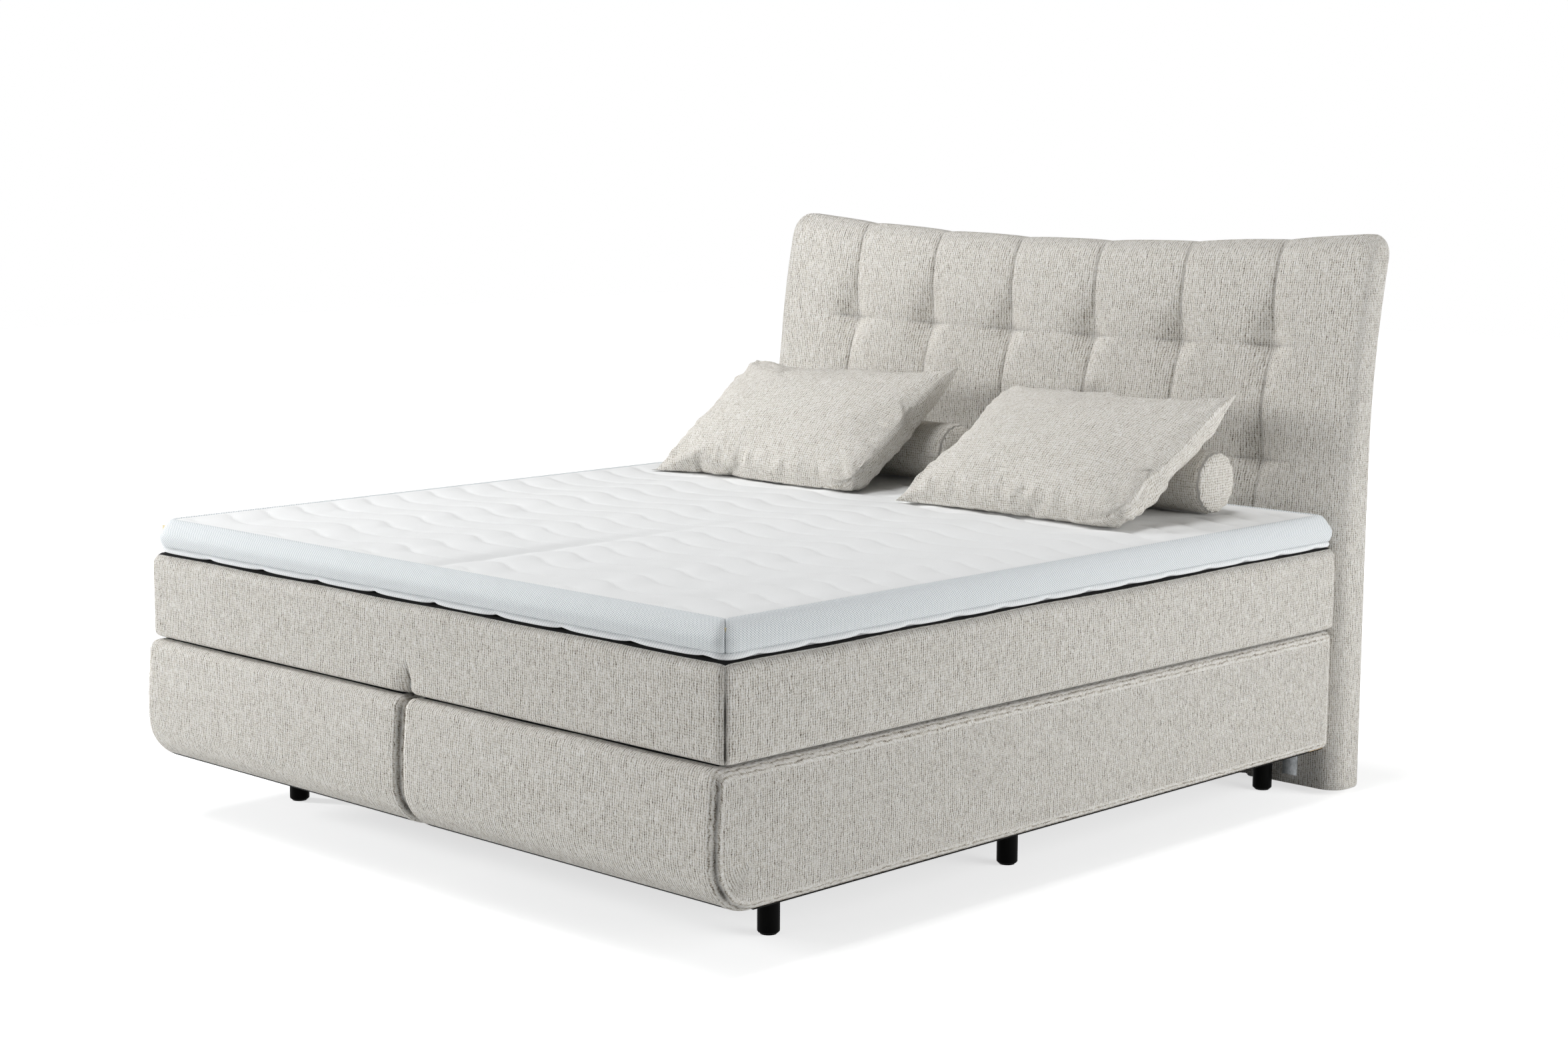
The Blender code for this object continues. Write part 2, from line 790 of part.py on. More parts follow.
def cushion_cuts():
    """Cuts across the panels and along the tuft rows, as shares of the headboard."""
    across = []
    for panel in range(PANEL_COUNT):
        across += [(panel + share) / PANEL_COUNT * 2 - 1 for share in PANEL_SHARES]
    across = [share for share in across if abs(share) < EDGE_CELL_SHARE]
    lowest_row = TUFT_ROW_TOP - TUFT_ROW_SPACING * 2
    rows = [(HEAD_LIFT + lowest_row) / 2]
    for row in (1, 2):
        start = TUFT_ROW_TOP - TUFT_ROW_SPACING * row
        rows += [start + TUFT_ROW_SPACING * share for share in PANEL_SHARES]
    rows += [TUFT_ROW_TOP + (HEAD_TOP - TUFT_ROW_TOP) * share for share in PANEL_SHARES[:-1]]
    scale = (HEAD_TOP - HEAD_LIFT) / 2
    return across, [(row - HEAD_LIFT) / scale - 1.0 for row in rows]


def bent_outline(front, back, low, high):
    """Side outline of a bent piece between two heights, from its depths before the back face."""
    stations = [low + (high - low) * step / BEND_STEPS for step in range(BEND_STEPS + 1)]
    rear = [(head_back(height) - back, height) for height in stations]
    fore = [(head_back(height) - front, height) for height in reversed(stations)]
    return rear + fore


def head_cushion(material):
    """Tufted upholstery with a recess in its back for the board and frame."""
    across, levels = cushion_cuts()
    shape = sliced_block(across, (), levels)
    cushion = formed(
        "head_cushion", shape, cushion_point, material, HEAD_EDGE, cushion_rounding
    )
    low, high = recess_levels()
    outline = bent_outline(BOARD_FRONT + GAP, -OVERRUN, low, high)
    recess = as_mesh(prism("head_recess", outline, 0.0, HEAD_HALF - HEAD_RIM, None))
    cut(cushion, recess)
    return [cushion, recess]


def recess_levels():
    """Bottom and top of the recess in the back of the headboard."""
    return HEAD_LIFT + HEAD_RIM, HEAD_TOP - HEAD_RIM


# Depths of the headboard's layers before its back face
STILE_BACK = LINING_THICKNESS + GAP
STILE_FRONT = STILE_BACK + STILE_DEPTH
BOARD_BACK = STILE_FRONT + GAP
BOARD_FRONT = BOARD_BACK + BOARD_THICKNESS


def head_frame(board, rail, cloth):
    """Bent board, stiles, rails and the cloth-covered lining that closes the back."""
    low, high = recess_levels()
    low += GAP
    high -= GAP
    fill = HEAD_HALF - HEAD_RIM - GAP
    pieces = []
    outline = bent_outline(BOARD_FRONT, BOARD_BACK, low, high)
    pieces.append(prism("head_board", outline, 0.0, fill, board))
    outline = bent_outline(STILE_FRONT, STILE_BACK, low, high)
    for word, side in SIDES:
        centre = side * STILE_CENTRE
        pieces.append(prism("head_stile_" + word, outline, centre, STILE_WIDTH / 2, rail))
    between = STILE_CENTRE - STILE_WIDTH / 2 - GAP
    middle = (low + high) / 2
    spans = (
        ("head_rail_bottom", low, low + HEAD_RAIL_HEIGHT),
        ("head_rail_mid", middle - HEAD_RAIL_HEIGHT / 2, middle + HEAD_RAIL_HEIGHT / 2),
        ("head_rail_top", high - HEAD_RAIL_HEIGHT, high),
    )
    for name, bottom, top in spans:
        outline = rail_outline(low, high, bottom, top)
        pieces.append(prism(name, outline, 0.0, between, rail))
    outline = bent_outline(LINING_THICKNESS, 0.0, low, high)
    pieces.append(prism("head_lining", outline, 0.0, fill, cloth))
    return pieces


def chord_back(low, high, height):
    """Depth of the back face at a height along the straight steps of the bent pieces."""
    place = (height - low) / (high - low) * BEND_STEPS
    step = min(BEND_STEPS - 1, int(place))
    lower = low + (high - low) * step / BEND_STEPS
    upper = low + (high - low) * (step + 1) / BEND_STEPS
    share = place - step
    return head_back(lower) * (1.0 - share) + head_back(upper) * share


def rail_outline(low, high, bottom, top):
    """Side outline of a rail that lies between the board and the lining."""
    steps = [low + (high - low) * step / BEND_STEPS for step in range(BEND_STEPS + 1)]
    levels = [bottom] + [step for step in steps if bottom < step < top] + [top]
    rear = [(chord_back(low, high, level) - STILE_BACK, level) for level in levels]
    fore = [(chord_back(low, high, level) - STILE_FRONT, level) for level in reversed(levels)]
    return rear + fore


def head_brackets(material):
    """Angle plates under the boxes that hold the headboard, beside the outer head legs."""
    top = LEG_HEIGHT - GAP
    low = LEG_HEIGHT - BRACKET_DROP
    face = HEAD_FRONT - GAP
    start = BASE_LENGTH - BRACKET_REACH
    outline = [
        (start, top - PLATE_THICKNESS),
        (face - PLATE_THICKNESS, top - PLATE_THICKNESS),
        (face - PLATE_THICKNESS, low),
        (face, low),
        (face, top),
        (start, top),
    ]
    offset = UNIT_CENTRE + LEG_OFFSET + LEG_RADIUS + BRACKET_CLEARANCE + BRACKET_WIDTH / 2
    pieces = []
    for word, side in SIDES:
        name = "head_bracket_" + word
        pieces.append(prism(name, outline, side * offset, BRACKET_WIDTH / 2, material))
    return pieces


def head_glides(material):
    """Plastic glides that stand the headboard on the floor under its stiles."""
    top = HEAD_LIFT - GAP
    profile = [
        (0.0, top),
        (GLIDE_RADIUS, top),
        (GLIDE_RADIUS, GLIDE_EDGE),
        (GLIDE_RADIUS - GLIDE_EDGE, 0.0),
        (0.0, 0.0),
    ]
    depth = HEAD_FRONT + HEAD_DEPTH_LOW / 2
    pieces = []
    for word, side in SIDES:
        place = (side * STILE_CENTRE, depth, 0.0)
        pieces.append(turned("head_glide_" + word, profile, material, LEG_STEPS, place))
    return pieces


# Mattress


def mattress_point(s, t, h):
    """Mattress cover: round corners in plan, full sides and a tuck in the middle of the foot."""
    swell = MATTRESS_BULGE * (1.0 - h * h)
    half_x = MATTRESS_WIDTH / 2 - MATTRESS_BULGE + swell
    half_y = MATTRESS_LENGTH / 2 - MATTRESS_BULGE + swell
    x, y = plan_point(s, t, half_x, half_y, MATTRESS_CORNER)
    if t <= -1.0 and abs(s) < 1.0:
        fade = ease((TUCK_RISE_SHARE + TUCK_FADE_SHARE - h) / TUCK_FADE_SHARE)
        y += TUCK_DEPTH * fade * math.exp(-((2.0 * x / TUCK_WIDTH) ** 2))
    return x, MATTRESS_MIDDLE + y, MATTRESS_BOTTOM + MATTRESS_HEIGHT * (h + 1.0) / 2


def mattress(finishes):
    """Mattress: cover, two spring cores, comfort layer and underside."""
    tuck_share = TUCK_WIDTH / MATTRESS_WIDTH
    across = mirrored(MATTRESS_CUT_SHARES + (tuck_share, tuck_share * 2, end_share(MATTRESS_WIDTH)))
    along = mirrored(MATTRESS_CUT_SHARES + (end_share(MATTRESS_LENGTH),))
    shape = sliced_block(across, along, MATTRESS_RISE_SHARES)
    cover = formed("mattress_cover", shape, mattress_point, finishes["upholstery"], MATTRESS_EDGE)
    inner_x = MATTRESS_WIDTH / 2 - MATTRESS_WALL
    front = MATTRESS_SETBACK + MATTRESS_WALL
    back = MATTRESS_SETBACK + MATTRESS_LENGTH - MATTRESS_WALL
    roof = MATTRESS_TOP - MATTRESS_WALL
    low = (-inner_x, front, MATTRESS_BOTTOM - OVERRUN)
    cavity = block("mattress_cavity", low, (inner_x, back, roof), None)
    cut(cover, cavity)
    pieces = [cover, cavity]
    fill = inner_x - GAP
    front += GAP
    back -= GAP
    core_bottom = MATTRESS_BOTTOM + UNDER_PANEL + GAP
    core_top = roof - COMFORT_LAYER - GAP * 2
    low = (-fill, front, MATTRESS_BOTTOM)
    high = (fill, back, MATTRESS_BOTTOM + UNDER_PANEL)
    pieces.append(block("mattress_underside", low, high, finishes["topper_cloth"]))
    for word, side in SIDES:
        edges = sorted((side * GAP, side * fill))
        low = (edges[0], front, core_bottom)
        high = (edges[1], back, core_top)
        pieces.append(block("mattress_core_" + word, low, high, finishes["spring_felt"], PAD_EDGE))
    low = (-fill, front, core_top + GAP)
    pieces.append(block("mattress_comfort_layer", low, (fill, back, roof - GAP), finishes["foam"]))
    return pieces


def end_share(size):
    """Share at which the round corner of the mattress starts along one of its sides."""
    return 1.0 - 2.0 * MATTRESS_CORNER / size


# Topper


def topper_point(s, t, h):
    """Topper cover: mesh border and a top quilted in wavy rows."""
    x, y = plan_point(s, t, TOPPER_WIDTH / 2, TOPPER_LENGTH / 2, TOPPER_CORNER)
    height = TOPPER_SEAM if h < 0.0 else TOPPER_TOP - TOPPER_CROWN
    if h > 0.0 and abs(s) < 1.0 and abs(t) < 1.0:
        row = abs(math.sin(math.pi * QUILT_ROWS * (t + 1.0) / 2))
        height = TOPPER_TOP - QUILT_DIP * (1.0 - row)
        y += QUILT_SWAY * math.sin(math.pi * QUILT_WAVES * (s + 1.0)) * (1.0 - t ** 8)
    return x, TOPPER_MIDDLE + y, height


def underside_point(s, t, h):
    """Quilted underside that swells below the border between its stitch lines."""
    half_x = TOPPER_WIDTH / 2 - UNDER_INSET
    half_y = TOPPER_LENGTH / 2 - UNDER_INSET
    x, y = plan_point(s, t, half_x, half_y, TOPPER_CORNER - UNDER_INSET)
    height = TOPPER_BOTTOM + (TOPPER_UNDERSIDE if h > 0.0 else 0.0)
    if h < 0.0 and abs(t) >= 1.0:
        height += UNDER_DIP * abs(math.cos(math.pi * UNDER_WAVES * (s + 1.0) / 2))
    elif h < 0.0 and abs(s) >= 1.0:
        height += UNDER_DIP * abs(math.cos(math.pi * UNDER_ROWS * (t + 1.0) / 2))
    return x, TOPPER_MIDDLE + y, height


def even_cuts(count):
    """Evenly spaced cuts that share a block out into a count of cells."""
    return [2.0 * step / count - 1.0 for step in range(1, count)]


def topper(finishes):
    """Topper: quilted cover, foam core and quilted underside."""
    shape = sliced_block(even_cuts(QUILT_WAVES * CELLS_PER_WAVE), even_cuts(QUILT_ROWS * 2), ())
    cover = formed("topper_cover", shape, topper_point, finishes["topper_cloth"], TOPPER_EDGE)
    inner_x = TOPPER_WIDTH / 2 - TOPPER_WALL
    front = TOPPER_SETBACK + TOPPER_WALL
    back = TOPPER_SETBACK + TOPPER_LENGTH - TOPPER_WALL
    roof = TOPPER_TOP - TOPPER_WALL
    low = (-inner_x, front, TOPPER_SEAM - OVERRUN)
    cavity = block("topper_cavity", low, (inner_x, back, roof), None)
    cut(cover, cavity)
    low = (-inner_x + GAP, front + GAP, TOPPER_SEAM)
    core = block("topper_core", low, (inner_x - GAP, back - GAP, roof - GAP), finishes["foam"])
    shape = sliced_block(even_cuts(UNDER_WAVES * 2), even_cuts(UNDER_ROWS * 2), ())
    under = formed("topper_underside", shape, underside_point, finishes["topper_cloth"], 0.0)
    return [cover, cavity, core, under]


# Cushions


def pillow_point(s, t, h):
    """Stuffed cushion with drawn-in sides, pointed corners and a thin seam all round."""
    x = s * (PILLOW_WIDTH / 2 - PILLOW_DRAW * (1.0 - t * t))
    y = t * (PILLOW_HEIGHT / 2 - PILLOW_DRAW * (1.0 - s * s))
    full = (PILLOW_THICKNESS - PILLOW_SEAM) / 2 * ((1.0 - s * s) * (1.0 - t * t)) ** FULLNESS_POWER
    return x, y, h * (PILLOW_SEAM / 2 + full)


def pillow(name, centre, material):
    """One cushion, tilted back and set down on the topper."""
    cuts = mirrored(CUSHION_CUT_SHARES)
    cushion = formed(name, sliced_block(cuts, cuts, ()), pillow_point, material, 0.0)
    cushion.rotation_euler = (PILLOW_TILT, 0.0, 0.0)
    depth = PILLOW_SETBACK + PILLOW_HEIGHT / 2 * math.cos(PILLOW_TILT)
    height = TOPPER_TOP + PILLOW_SEAT + PILLOW_HEIGHT / 2 * math.sin(PILLOW_TILT)
    cushion.location = (centre, depth, height)
    settle(cushion, TOPPER_TOP + GAP)
    return cushion


def settle(cushion, level):
    """Flatten the padding that would reach below the level it rests on."""
    turn = cushion.rotation_euler.to_matrix()
    upward = turn.transposed() @ Vector((0.0, 0.0, 1.0))
    for vert in cushion.data.vertices:
        height = cushion.location.z + (turn @ vert.co).z
        vert.co += upward * max(0.0, level - height)


def edge_points(thing):
    """Points along every edge of an unparented piece, in the bed's own places."""
    turn = thing.rotation_euler.to_matrix()
    points = [thing.location + turn @ vert.co for vert in thing.data.vertices]
    for edge in thing.data.edges:
        start, end = (points[index] for index in edge.vertices)
        for step in range(TOUCH_STEPS + 1):
            yield start.lerp(end, step / TOUCH_STEPS)


def bolster_depth(cushion, height):
    """Depth at which a bolster with its axis at a height just touches a cushion from behind."""
    reach = BOLSTER_RADIUS + GAP
    depths = [0.0]
    for point in edge_points(cushion):
        over = abs(point.z - height)
        if over < reach:
            depths.append(point.y + math.sqrt(reach ** 2 - over ** 2))
    return max(depths)


def bolster_height(cover, depth):
    """Height of a bolster's axis where it just rests on the quilted top at a depth."""
    reach = BOLSTER_RADIUS + GAP
    heights = [TOPPER_SEAM]
    for point in edge_points(cover):
        over = abs(point.y - depth)
        if over < reach:
            heights.append(point.z + math.sqrt(reach ** 2 - over ** 2))
    return max(heights)


def bolster_seat(cushion, cover):
    """Depth and height of a bolster that lies on the topper and touches its cushion."""
    height = TOPPER_TOP + GAP + BOLSTER_RADIUS
    for _ in range(SEAT_ROUNDS):
        depth = bolster_depth(cushion, height)
        height = bolster_height(cover, depth)
    return depth, height


def bolster_profile():
    """Half a bolster's outline from one gathered end to the other."""
    end = []
    for step in range(ARC_STEPS + 1):
        turn = math.pi / 2 * step / ARC_STEPS
        out = BOLSTER_RADIUS - BOLSTER_END * (1.0 - math.sin(turn))
        end.append((out, BOLSTER_LENGTH / 2 - BOLSTER_END * (1.0 - math.cos(turn))))
    end.insert(0, (0.0, BOLSTER_LENGTH / 2 - BOLSTER_PUCKER))
    return end + [(radius, -height) for radius, height in reversed(end)]


def bolster(name, centre, seat, material):
    """One bolster lying across the bed at its seat's depth and height."""
    place = (centre, *seat)
    roll = turned(name, bolster_profile(), material, TURN_STEPS, place)
    roll.rotation_euler = (0.0, math.pi / 2, 0.0)
    return roll


# The whole bed


def new_finishes():
    """Every material by its name."""
    makers = (
        upholstery, cushion_cloth, topper_cloth, foam, spring_felt, timber, plywood,
        black_cloth, black_lacquer, zinc_steel, black_plastic,
    )
    return {maker.__name__: maker() for maker in makers}


def build_bed():
    """Build every piece and hang it on the empty that it moves with."""
    finishes = new_finishes()
    root = add_empty("bed_root", (0.0, 0.0, 0.0))
    fixed = []
    for word, side in SIDES:
        fixed += spring_box("box_" + word, side, finishes)
    fixed += link_plates(finishes["zinc_steel"])
    fixed += head_cushion(finishes["upholstery"])
    fixed += head_frame(finishes["plywood"], finishes["timber"], finishes["upholstery"])
    fixed += head_brackets(finishes["zinc_steel"])
    fixed += head_glides(finishes["black_plastic"])
    for piece in fixed:
        attach(piece, root)
    mattress_lift = add_empty("mattress_lift", (0.0, MATTRESS_MIDDLE, MATTRESS_BOTTOM), root)
    for piece in mattress(finishes):
        attach(piece, mattress_lift)
    topper_place = (0.0, TOPPER_MIDDLE, TOPPER_BOTTOM)
    topper_lift = add_empty("topper_lift", topper_place, mattress_lift)
    topper_pieces = topper(finishes)
    cloth = finishes["cushion_cloth"]
    for word, side in SIDES:
        cushion = pillow("pillow_" + word, side * PILLOW_SIDE, cloth)
        seat = bolster_seat(cushion, topper_pieces[0])
        roll = bolster("bolster_" + word, side * BOLSTER_SIDE, seat, cloth)
        lift = add_empty("bolster_lift_" + word, roll.location.copy(), topper_lift)
        attach(roll, lift)
        attach(cushion, lift)
    for piece in topper_pieces:
        attach(piece, topper_lift)
    centre_bed(root)


def centre_bed(root):
    """Move the root so that the bed's middle depth lies over the origin."""
    bpy.context.view_layer.update()
    graph = bpy.context.evaluated_depsgraph_get()
    depths = []
    for piece in BED.objects:
        solid = piece.evaluated_get(graph)
        depths += [(solid.matrix_world @ Vector(corner)).y for corner in solid.bound_box]
    root.location.y = -(min(depths) + max(depths)) / 2
    bpy.context.view_layer.update()


clear_scene()
BED = new_collection("box_spring_bed")
CUTTERS = new_collection("cutters")
GUIDES = new_collection("guides")
build_bed()
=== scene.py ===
"""Dressed scene of a two-unit box spring bed with mattress, quilted topper, cushions and tufted headboard.

Metres, +Z up, foot at -Y and head at +Y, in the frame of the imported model. Every new surface is worked out
with numpy, on the grid lines of a box or as rings about an axis, and rides on its own body.
"""

import json
import logging
import math
from dataclasses import dataclass
from enum import Enum

import bpy
import numpy as np
from mathutils import Matrix, Vector


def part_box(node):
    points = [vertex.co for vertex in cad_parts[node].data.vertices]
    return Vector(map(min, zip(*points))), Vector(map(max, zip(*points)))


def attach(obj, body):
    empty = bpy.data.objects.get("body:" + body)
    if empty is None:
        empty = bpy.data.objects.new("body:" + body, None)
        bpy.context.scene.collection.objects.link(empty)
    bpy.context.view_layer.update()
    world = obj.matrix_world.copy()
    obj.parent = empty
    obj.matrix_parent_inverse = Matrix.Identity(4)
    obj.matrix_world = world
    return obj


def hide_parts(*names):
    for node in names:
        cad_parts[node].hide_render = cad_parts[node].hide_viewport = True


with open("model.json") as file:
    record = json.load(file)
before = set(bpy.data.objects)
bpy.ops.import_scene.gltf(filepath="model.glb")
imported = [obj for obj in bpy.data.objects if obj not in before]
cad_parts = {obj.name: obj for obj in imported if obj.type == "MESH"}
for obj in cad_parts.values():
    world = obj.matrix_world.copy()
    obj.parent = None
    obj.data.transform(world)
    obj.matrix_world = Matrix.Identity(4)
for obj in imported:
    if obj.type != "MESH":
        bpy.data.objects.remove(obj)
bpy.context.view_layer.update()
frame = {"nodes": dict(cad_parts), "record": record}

LOG = logging.getLogger("bed")
Array = np.ndarray
Tree = bpy.types.NodeTree
Socket = bpy.types.NodeSocket
MM = 0.001
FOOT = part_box("box_left_cover")[0].y


# Colours and nodes


def linear(code: str) -> tuple[float, float, float, float]:
    """Turn an sRGB hex colour into linear RGBA.

    Args:
        code: six hex digits.

    Returns:
        Red, green, blue and alpha, linear.
    """
    parts = [int(code[i : i + 2], 16) / 255 for i in (0, 2, 4)]
    return (*(c / 12.92 if c <= 0.04045 else ((c + 0.055) / 1.055) ** 2.4 for c in parts), 1.0)


def add_node(tree: Tree, kind: str, sockets: dict | None = None, **settings) -> bpy.types.Node:
    """Add one node, set its properties, and fill or link its input sockets.

    Args:
        tree: the tree that gets the node.
        kind: the node's type name without its common first part.
        sockets: input name or number to a value, or to the output socket that feeds it.
        settings: the node's own properties.

    Returns:
        The new node.
    """
    node = tree.nodes.new("ShaderNode" + kind)
    for name, value in settings.items():
        setattr(node, name, value)
    for name, value in (sockets or {}).items():
        if isinstance(value, bpy.types.NodeSocket):
            tree.links.new(value, node.inputs[name])
        else:
            node.inputs[name].default_value = value
    return node


def calc(tree: Tree, operation: str, *values: Socket | float) -> Socket:
    """Add one Math node and return its output socket."""
    return add_node(tree, "Math", dict(enumerate(values)), operation=operation).outputs[0]


def grain(tree: Tree, place: Socket, size_mm: tuple[float, float, float], detail: float = 2.0) -> Socket:
    """Add noise whose grains have a real size along each axis.

    Args:
        tree: the tree that gets the nodes.
        place: output socket of a position in metres.
        size_mm: grain size along x, y and z in millimetres.
        detail: octaves of finer grain.

    Returns:
        The noise value's output socket, about 0.5 on average.
    """
    scale = tuple(1.0 / (size * MM) for size in size_mm)
    near = add_node(tree, "VectorMath", {0: place, 1: scale}, operation="MULTIPLY")
    sockets = {"Vector": near.outputs[0], "Scale": 1.0, "Detail": detail, "Roughness": 0.55}
    return add_node(tree, "TexNoise", sockets).outputs[0]


def steps(tree: Tree, factor: Socket, stops: tuple[tuple[float, str], ...]) -> Socket:
    """Add a colour ramp through hex colours and return its colour socket."""
    ramp = add_node(tree, "ValToRGB", {"Fac": factor})
    band = ramp.color_ramp
    while len(band.elements) < len(stops):
        band.elements.new(0.5)
    for element, (place, code) in zip(band.elements, stops):
        element.position = place
        element.color = linear(code)
    return ramp.outputs[0]


def new_material(name: str) -> tuple[bpy.types.Material, Tree, bpy.types.Node]:
    """Start a material and return it with its tree and its Principled shader."""
    material = bpy.data.materials.new(name)
    material.use_nodes = True
    return material, material.node_tree, material.node_tree.nodes["Principled BSDF"]


def finish_surface(
    shader: bpy.types.Node,
    colour: Socket,
    height: Socket,
    depth_mm: float,
    strength: float,
    **settings: float,
) -> None:
    """Link a colour and a bump height to the shader and set its other inputs.

    Args:
        shader: the material's Principled shader.
        colour: colour socket.
        height: height socket from 0 to 1.
        depth_mm: real depth of the relief between 0 and 1.
        strength: share of the relief that is drawn.
        settings: values of other inputs, by their names with _ for a space.
    """
    tree = shader.id_data
    for name, value in settings.items():
        shader.inputs[name.replace("_", " ")].default_value = value
    tree.links.new(colour, shader.inputs["Base Color"])
    sockets = {"Height": height, "Distance": depth_mm * MM, "Strength": strength}
    bump = add_node(tree, "Bump", sockets)
    tree.links.new(bump.outputs[0], shader.inputs["Normal"])


def weave_place(tree: Tree) -> Socket:
    """Weave coordinates in metres."""
    return add_node(tree, "UVMap", uv_map="weave").outputs[0]


def object_place(tree: Tree) -> Socket:
    """Position in metres."""
    return add_node(tree, "TexCoord").outputs["Object"]


class Lay(Enum):
    """How much the upright and the level rows of pits between the yarns show."""

    RIBBED = (1.0, 0.45)
    CROSSED = (0.8, 0.7)


@dataclass(frozen=True)
class Chenille:
    """Woven polyester chenille: thick soft yarns with dark pits between them, matt with a faint sheen."""

    name: str
    lay: Lay
    pit: str = "50453a"
    shade: str = "b3a99b"
    body: str = "e8e3d9"
    tip: str = "fffdf9"
    warp_mm: float = 6.4
    weft_mm: float = 5.0
    wander_mm: float = 2.5
    fuzz: float = 1.6
    depth_mm: float = 2.8
    patchiness: float = 0.22
    seam_shadow: str = "2e2a25"

    def line(self, tree: Tree, place: Socket, pitch_mm: float, width: float) -> Socket:
        """Line between two yarns: 1 where |sin(pi a / p)| is 0, fading to 0 at the width."""
        turn = math.pi / (pitch_mm * MM)
        wave = calc(tree, "ABSOLUTE", calc(tree, "SINE", calc(tree, "MULTIPLY", place, turn)))
        sockets = {"Value": wave, "From Min": 0.0, "From Max": width, "To Min": 1.0, "To Max": 0.0}
        return add_node(tree, "MapRange", sockets, interpolation_type="SMOOTHSTEP").outputs[0]

    def dashes(self, tree: Tree, along: Socket, across: Socket, patch: Socket, share: float) -> Socket:
        """Row of pits: a line that is deep where the other yarns part, and closed here and there.

        Args:
            tree: the material's tree.
            along: the line between two yarns.
            across: the lines between the yarns that cross it.
            patch: noise that opens and closes the row.
            share: strength of these rows.

        Returns:
            The pits' depth from 0 to 1.
        """
        broken = calc(tree, "MULTIPLY", along, calc(tree, "MULTIPLY_ADD", across, 0.5, 0.5))
        sockets = {"Value": patch, "From Min": 0.30, "From Max": 0.60, "To Min": 0.15, "To Max": 1.0}
        opened = add_node(tree, "MapRange", sockets).outputs[0]
        return calc(tree, "MULTIPLY", calc(tree, "MULTIPLY", broken, opened), share)

    def wandering(self, tree: Tree, uv: Socket) -> Socket:
        """Weave coordinates drawn aside by noise, since chenille yarns never lie straight."""
        stretched = add_node(tree, "VectorMath", {0: uv, 1: (1.6, 0.8, 1.0)}, operation="MULTIPLY")
        sockets = {"Vector": stretched.outputs[0], "Scale": 70.0, "Detail": 4.0, "Roughness": 0.65}
        drift = add_node(tree, "TexNoise", sockets).outputs[1]
        middle = add_node(tree, "VectorMath", {0: drift, 1: (0.5, 0.5, 0.5)}, operation="SUBTRACT")
        reach = (self.wander_mm * 4 * MM,) * 3
        sockets = {0: middle.outputs[0], 1: reach, 2: uv}
        return add_node(tree, "VectorMath", sockets, operation="MULTIPLY_ADD").outputs[0]

    def build(self) -> bpy.types.Material:
        """Weave height = fuzz - the deeper row of pits; the pits between the yarns are darker, partly painted
        shade, and the pile tips lighter, partly painted light.
        """
        material, tree, shader = new_material(self.name)
        warp_share, weft_share = self.lay.value
        uv = weave_place(tree)
        wander = self.wandering(tree, uv)
        axes = add_node(tree, "SeparateXYZ", {0: wander})
        warp = self.line(tree, axes.outputs[0], self.warp_mm, 1.0)
        weft = self.line(tree, axes.outputs[1], self.weft_mm, 0.9)
        columns = self.dashes(tree, warp, weft, grain(tree, uv, (5.0, 30.0, 1.0), 3.0), warp_share)
        rows = self.dashes(tree, weft, warp, grain(tree, uv, (30.0, 5.0, 1.0), 3.0), weft_share)
        pits = calc(tree, "MAXIMUM", columns, rows)
        pile = calc(tree, "SUBTRACT", grain(tree, wander, (2.1, 8.0, 1.0), 3.0), 0.5)
        height = calc(tree, "SUBTRACT", calc(tree, "MULTIPLY_ADD", pile, self.fuzz, 0.91), pits)
        tone = grain(tree, uv, (26.0, 50.0, 1.0), 3.0)
        shown = calc(tree, "MULTIPLY_ADD", calc(tree, "SUBTRACT", tone, 0.5), self.patchiness, height)
        # Painted shade and light: by height the ramp darkens the pits and lightens the pile tips, partly the
        # yarn's own tone.
        stops = ((0.0, self.pit), (0.32, self.shade), (0.67, self.body), (1.0, self.tip))
        colour = steps(tree, shown, stops)
        # Painted shade: the crease attribute mixes the dark seam shadow colour into seams, tufts and creases.
        crease = add_node(tree, "Attribute", attribute_name="crease").outputs["Fac"]
        dark = add_node(tree, "Mix", {0: crease, 6: colour, 7: linear(self.seam_shadow)}, data_type="RGBA")
        pile_look = {"Sheen_Weight": 0.12, "Sheen_Roughness": 0.5, "Specular_IOR_Level": 0.2}
        finish_surface(shader, dark.outputs[2], height, self.depth_mm, 1.0, Roughness=0.92, **pile_look)
        return material


class Knit(Enum):
    """Face of a knitted cloth: angle of its rows in degrees, their spacing in mm, dark and light tone."""

    PIQUE = (90.0, 3.2, "dcddde", "eeefef")
    TWILL = (38.0, 5.5, "ced3d5", "eceeef")


@dataclass(frozen=True)
class Ticking:
    """Polyester double knit ticking: smooth, cool white, with fine rows that shade a little."""

    name: str
    knit: Knit

    def build(self) -> bpy.types.Material:
        """Row height = |sin| of the distance across the rows, broken into stitches along them."""
        material, tree, shader = new_material(self.name)
        angle, spacing, low, high = self.knit.value
        uv = weave_place(tree)
        turned = add_node(tree, "Mapping", {"Vector": uv, "Rotation": (0.0, 0.0, math.radians(angle))})
        axes = add_node(tree, "SeparateXYZ", {0: turned.outputs[0]})
        turn = math.pi / (spacing * MM)
        row = calc(tree, "ABSOLUTE", calc(tree, "SINE", calc(tree, "MULTIPLY", axes.outputs[0], turn)))
        stitch = calc(tree, "ABSOLUTE", calc(tree, "SINE", calc(tree, "MULTIPLY", axes.outputs[1], turn)))
        fine = grain(tree, uv, (1.5, 1.5, 1.0), 1.0)
        height = calc(tree, "MULTIPLY_ADD", stitch, 0.3, calc(tree, "MULTIPLY_ADD", fine, 0.2, row))
        colour = steps(tree, calc(tree, "MULTIPLY", height, 0.67), ((0.1, low), (0.7, high)))
        finish_surface(
            shader, colour, height, 0.35, 0.6, Roughness=0.85, Sheen_Weight=0.1, Specular_IOR_Level=0.3
        )
        return material


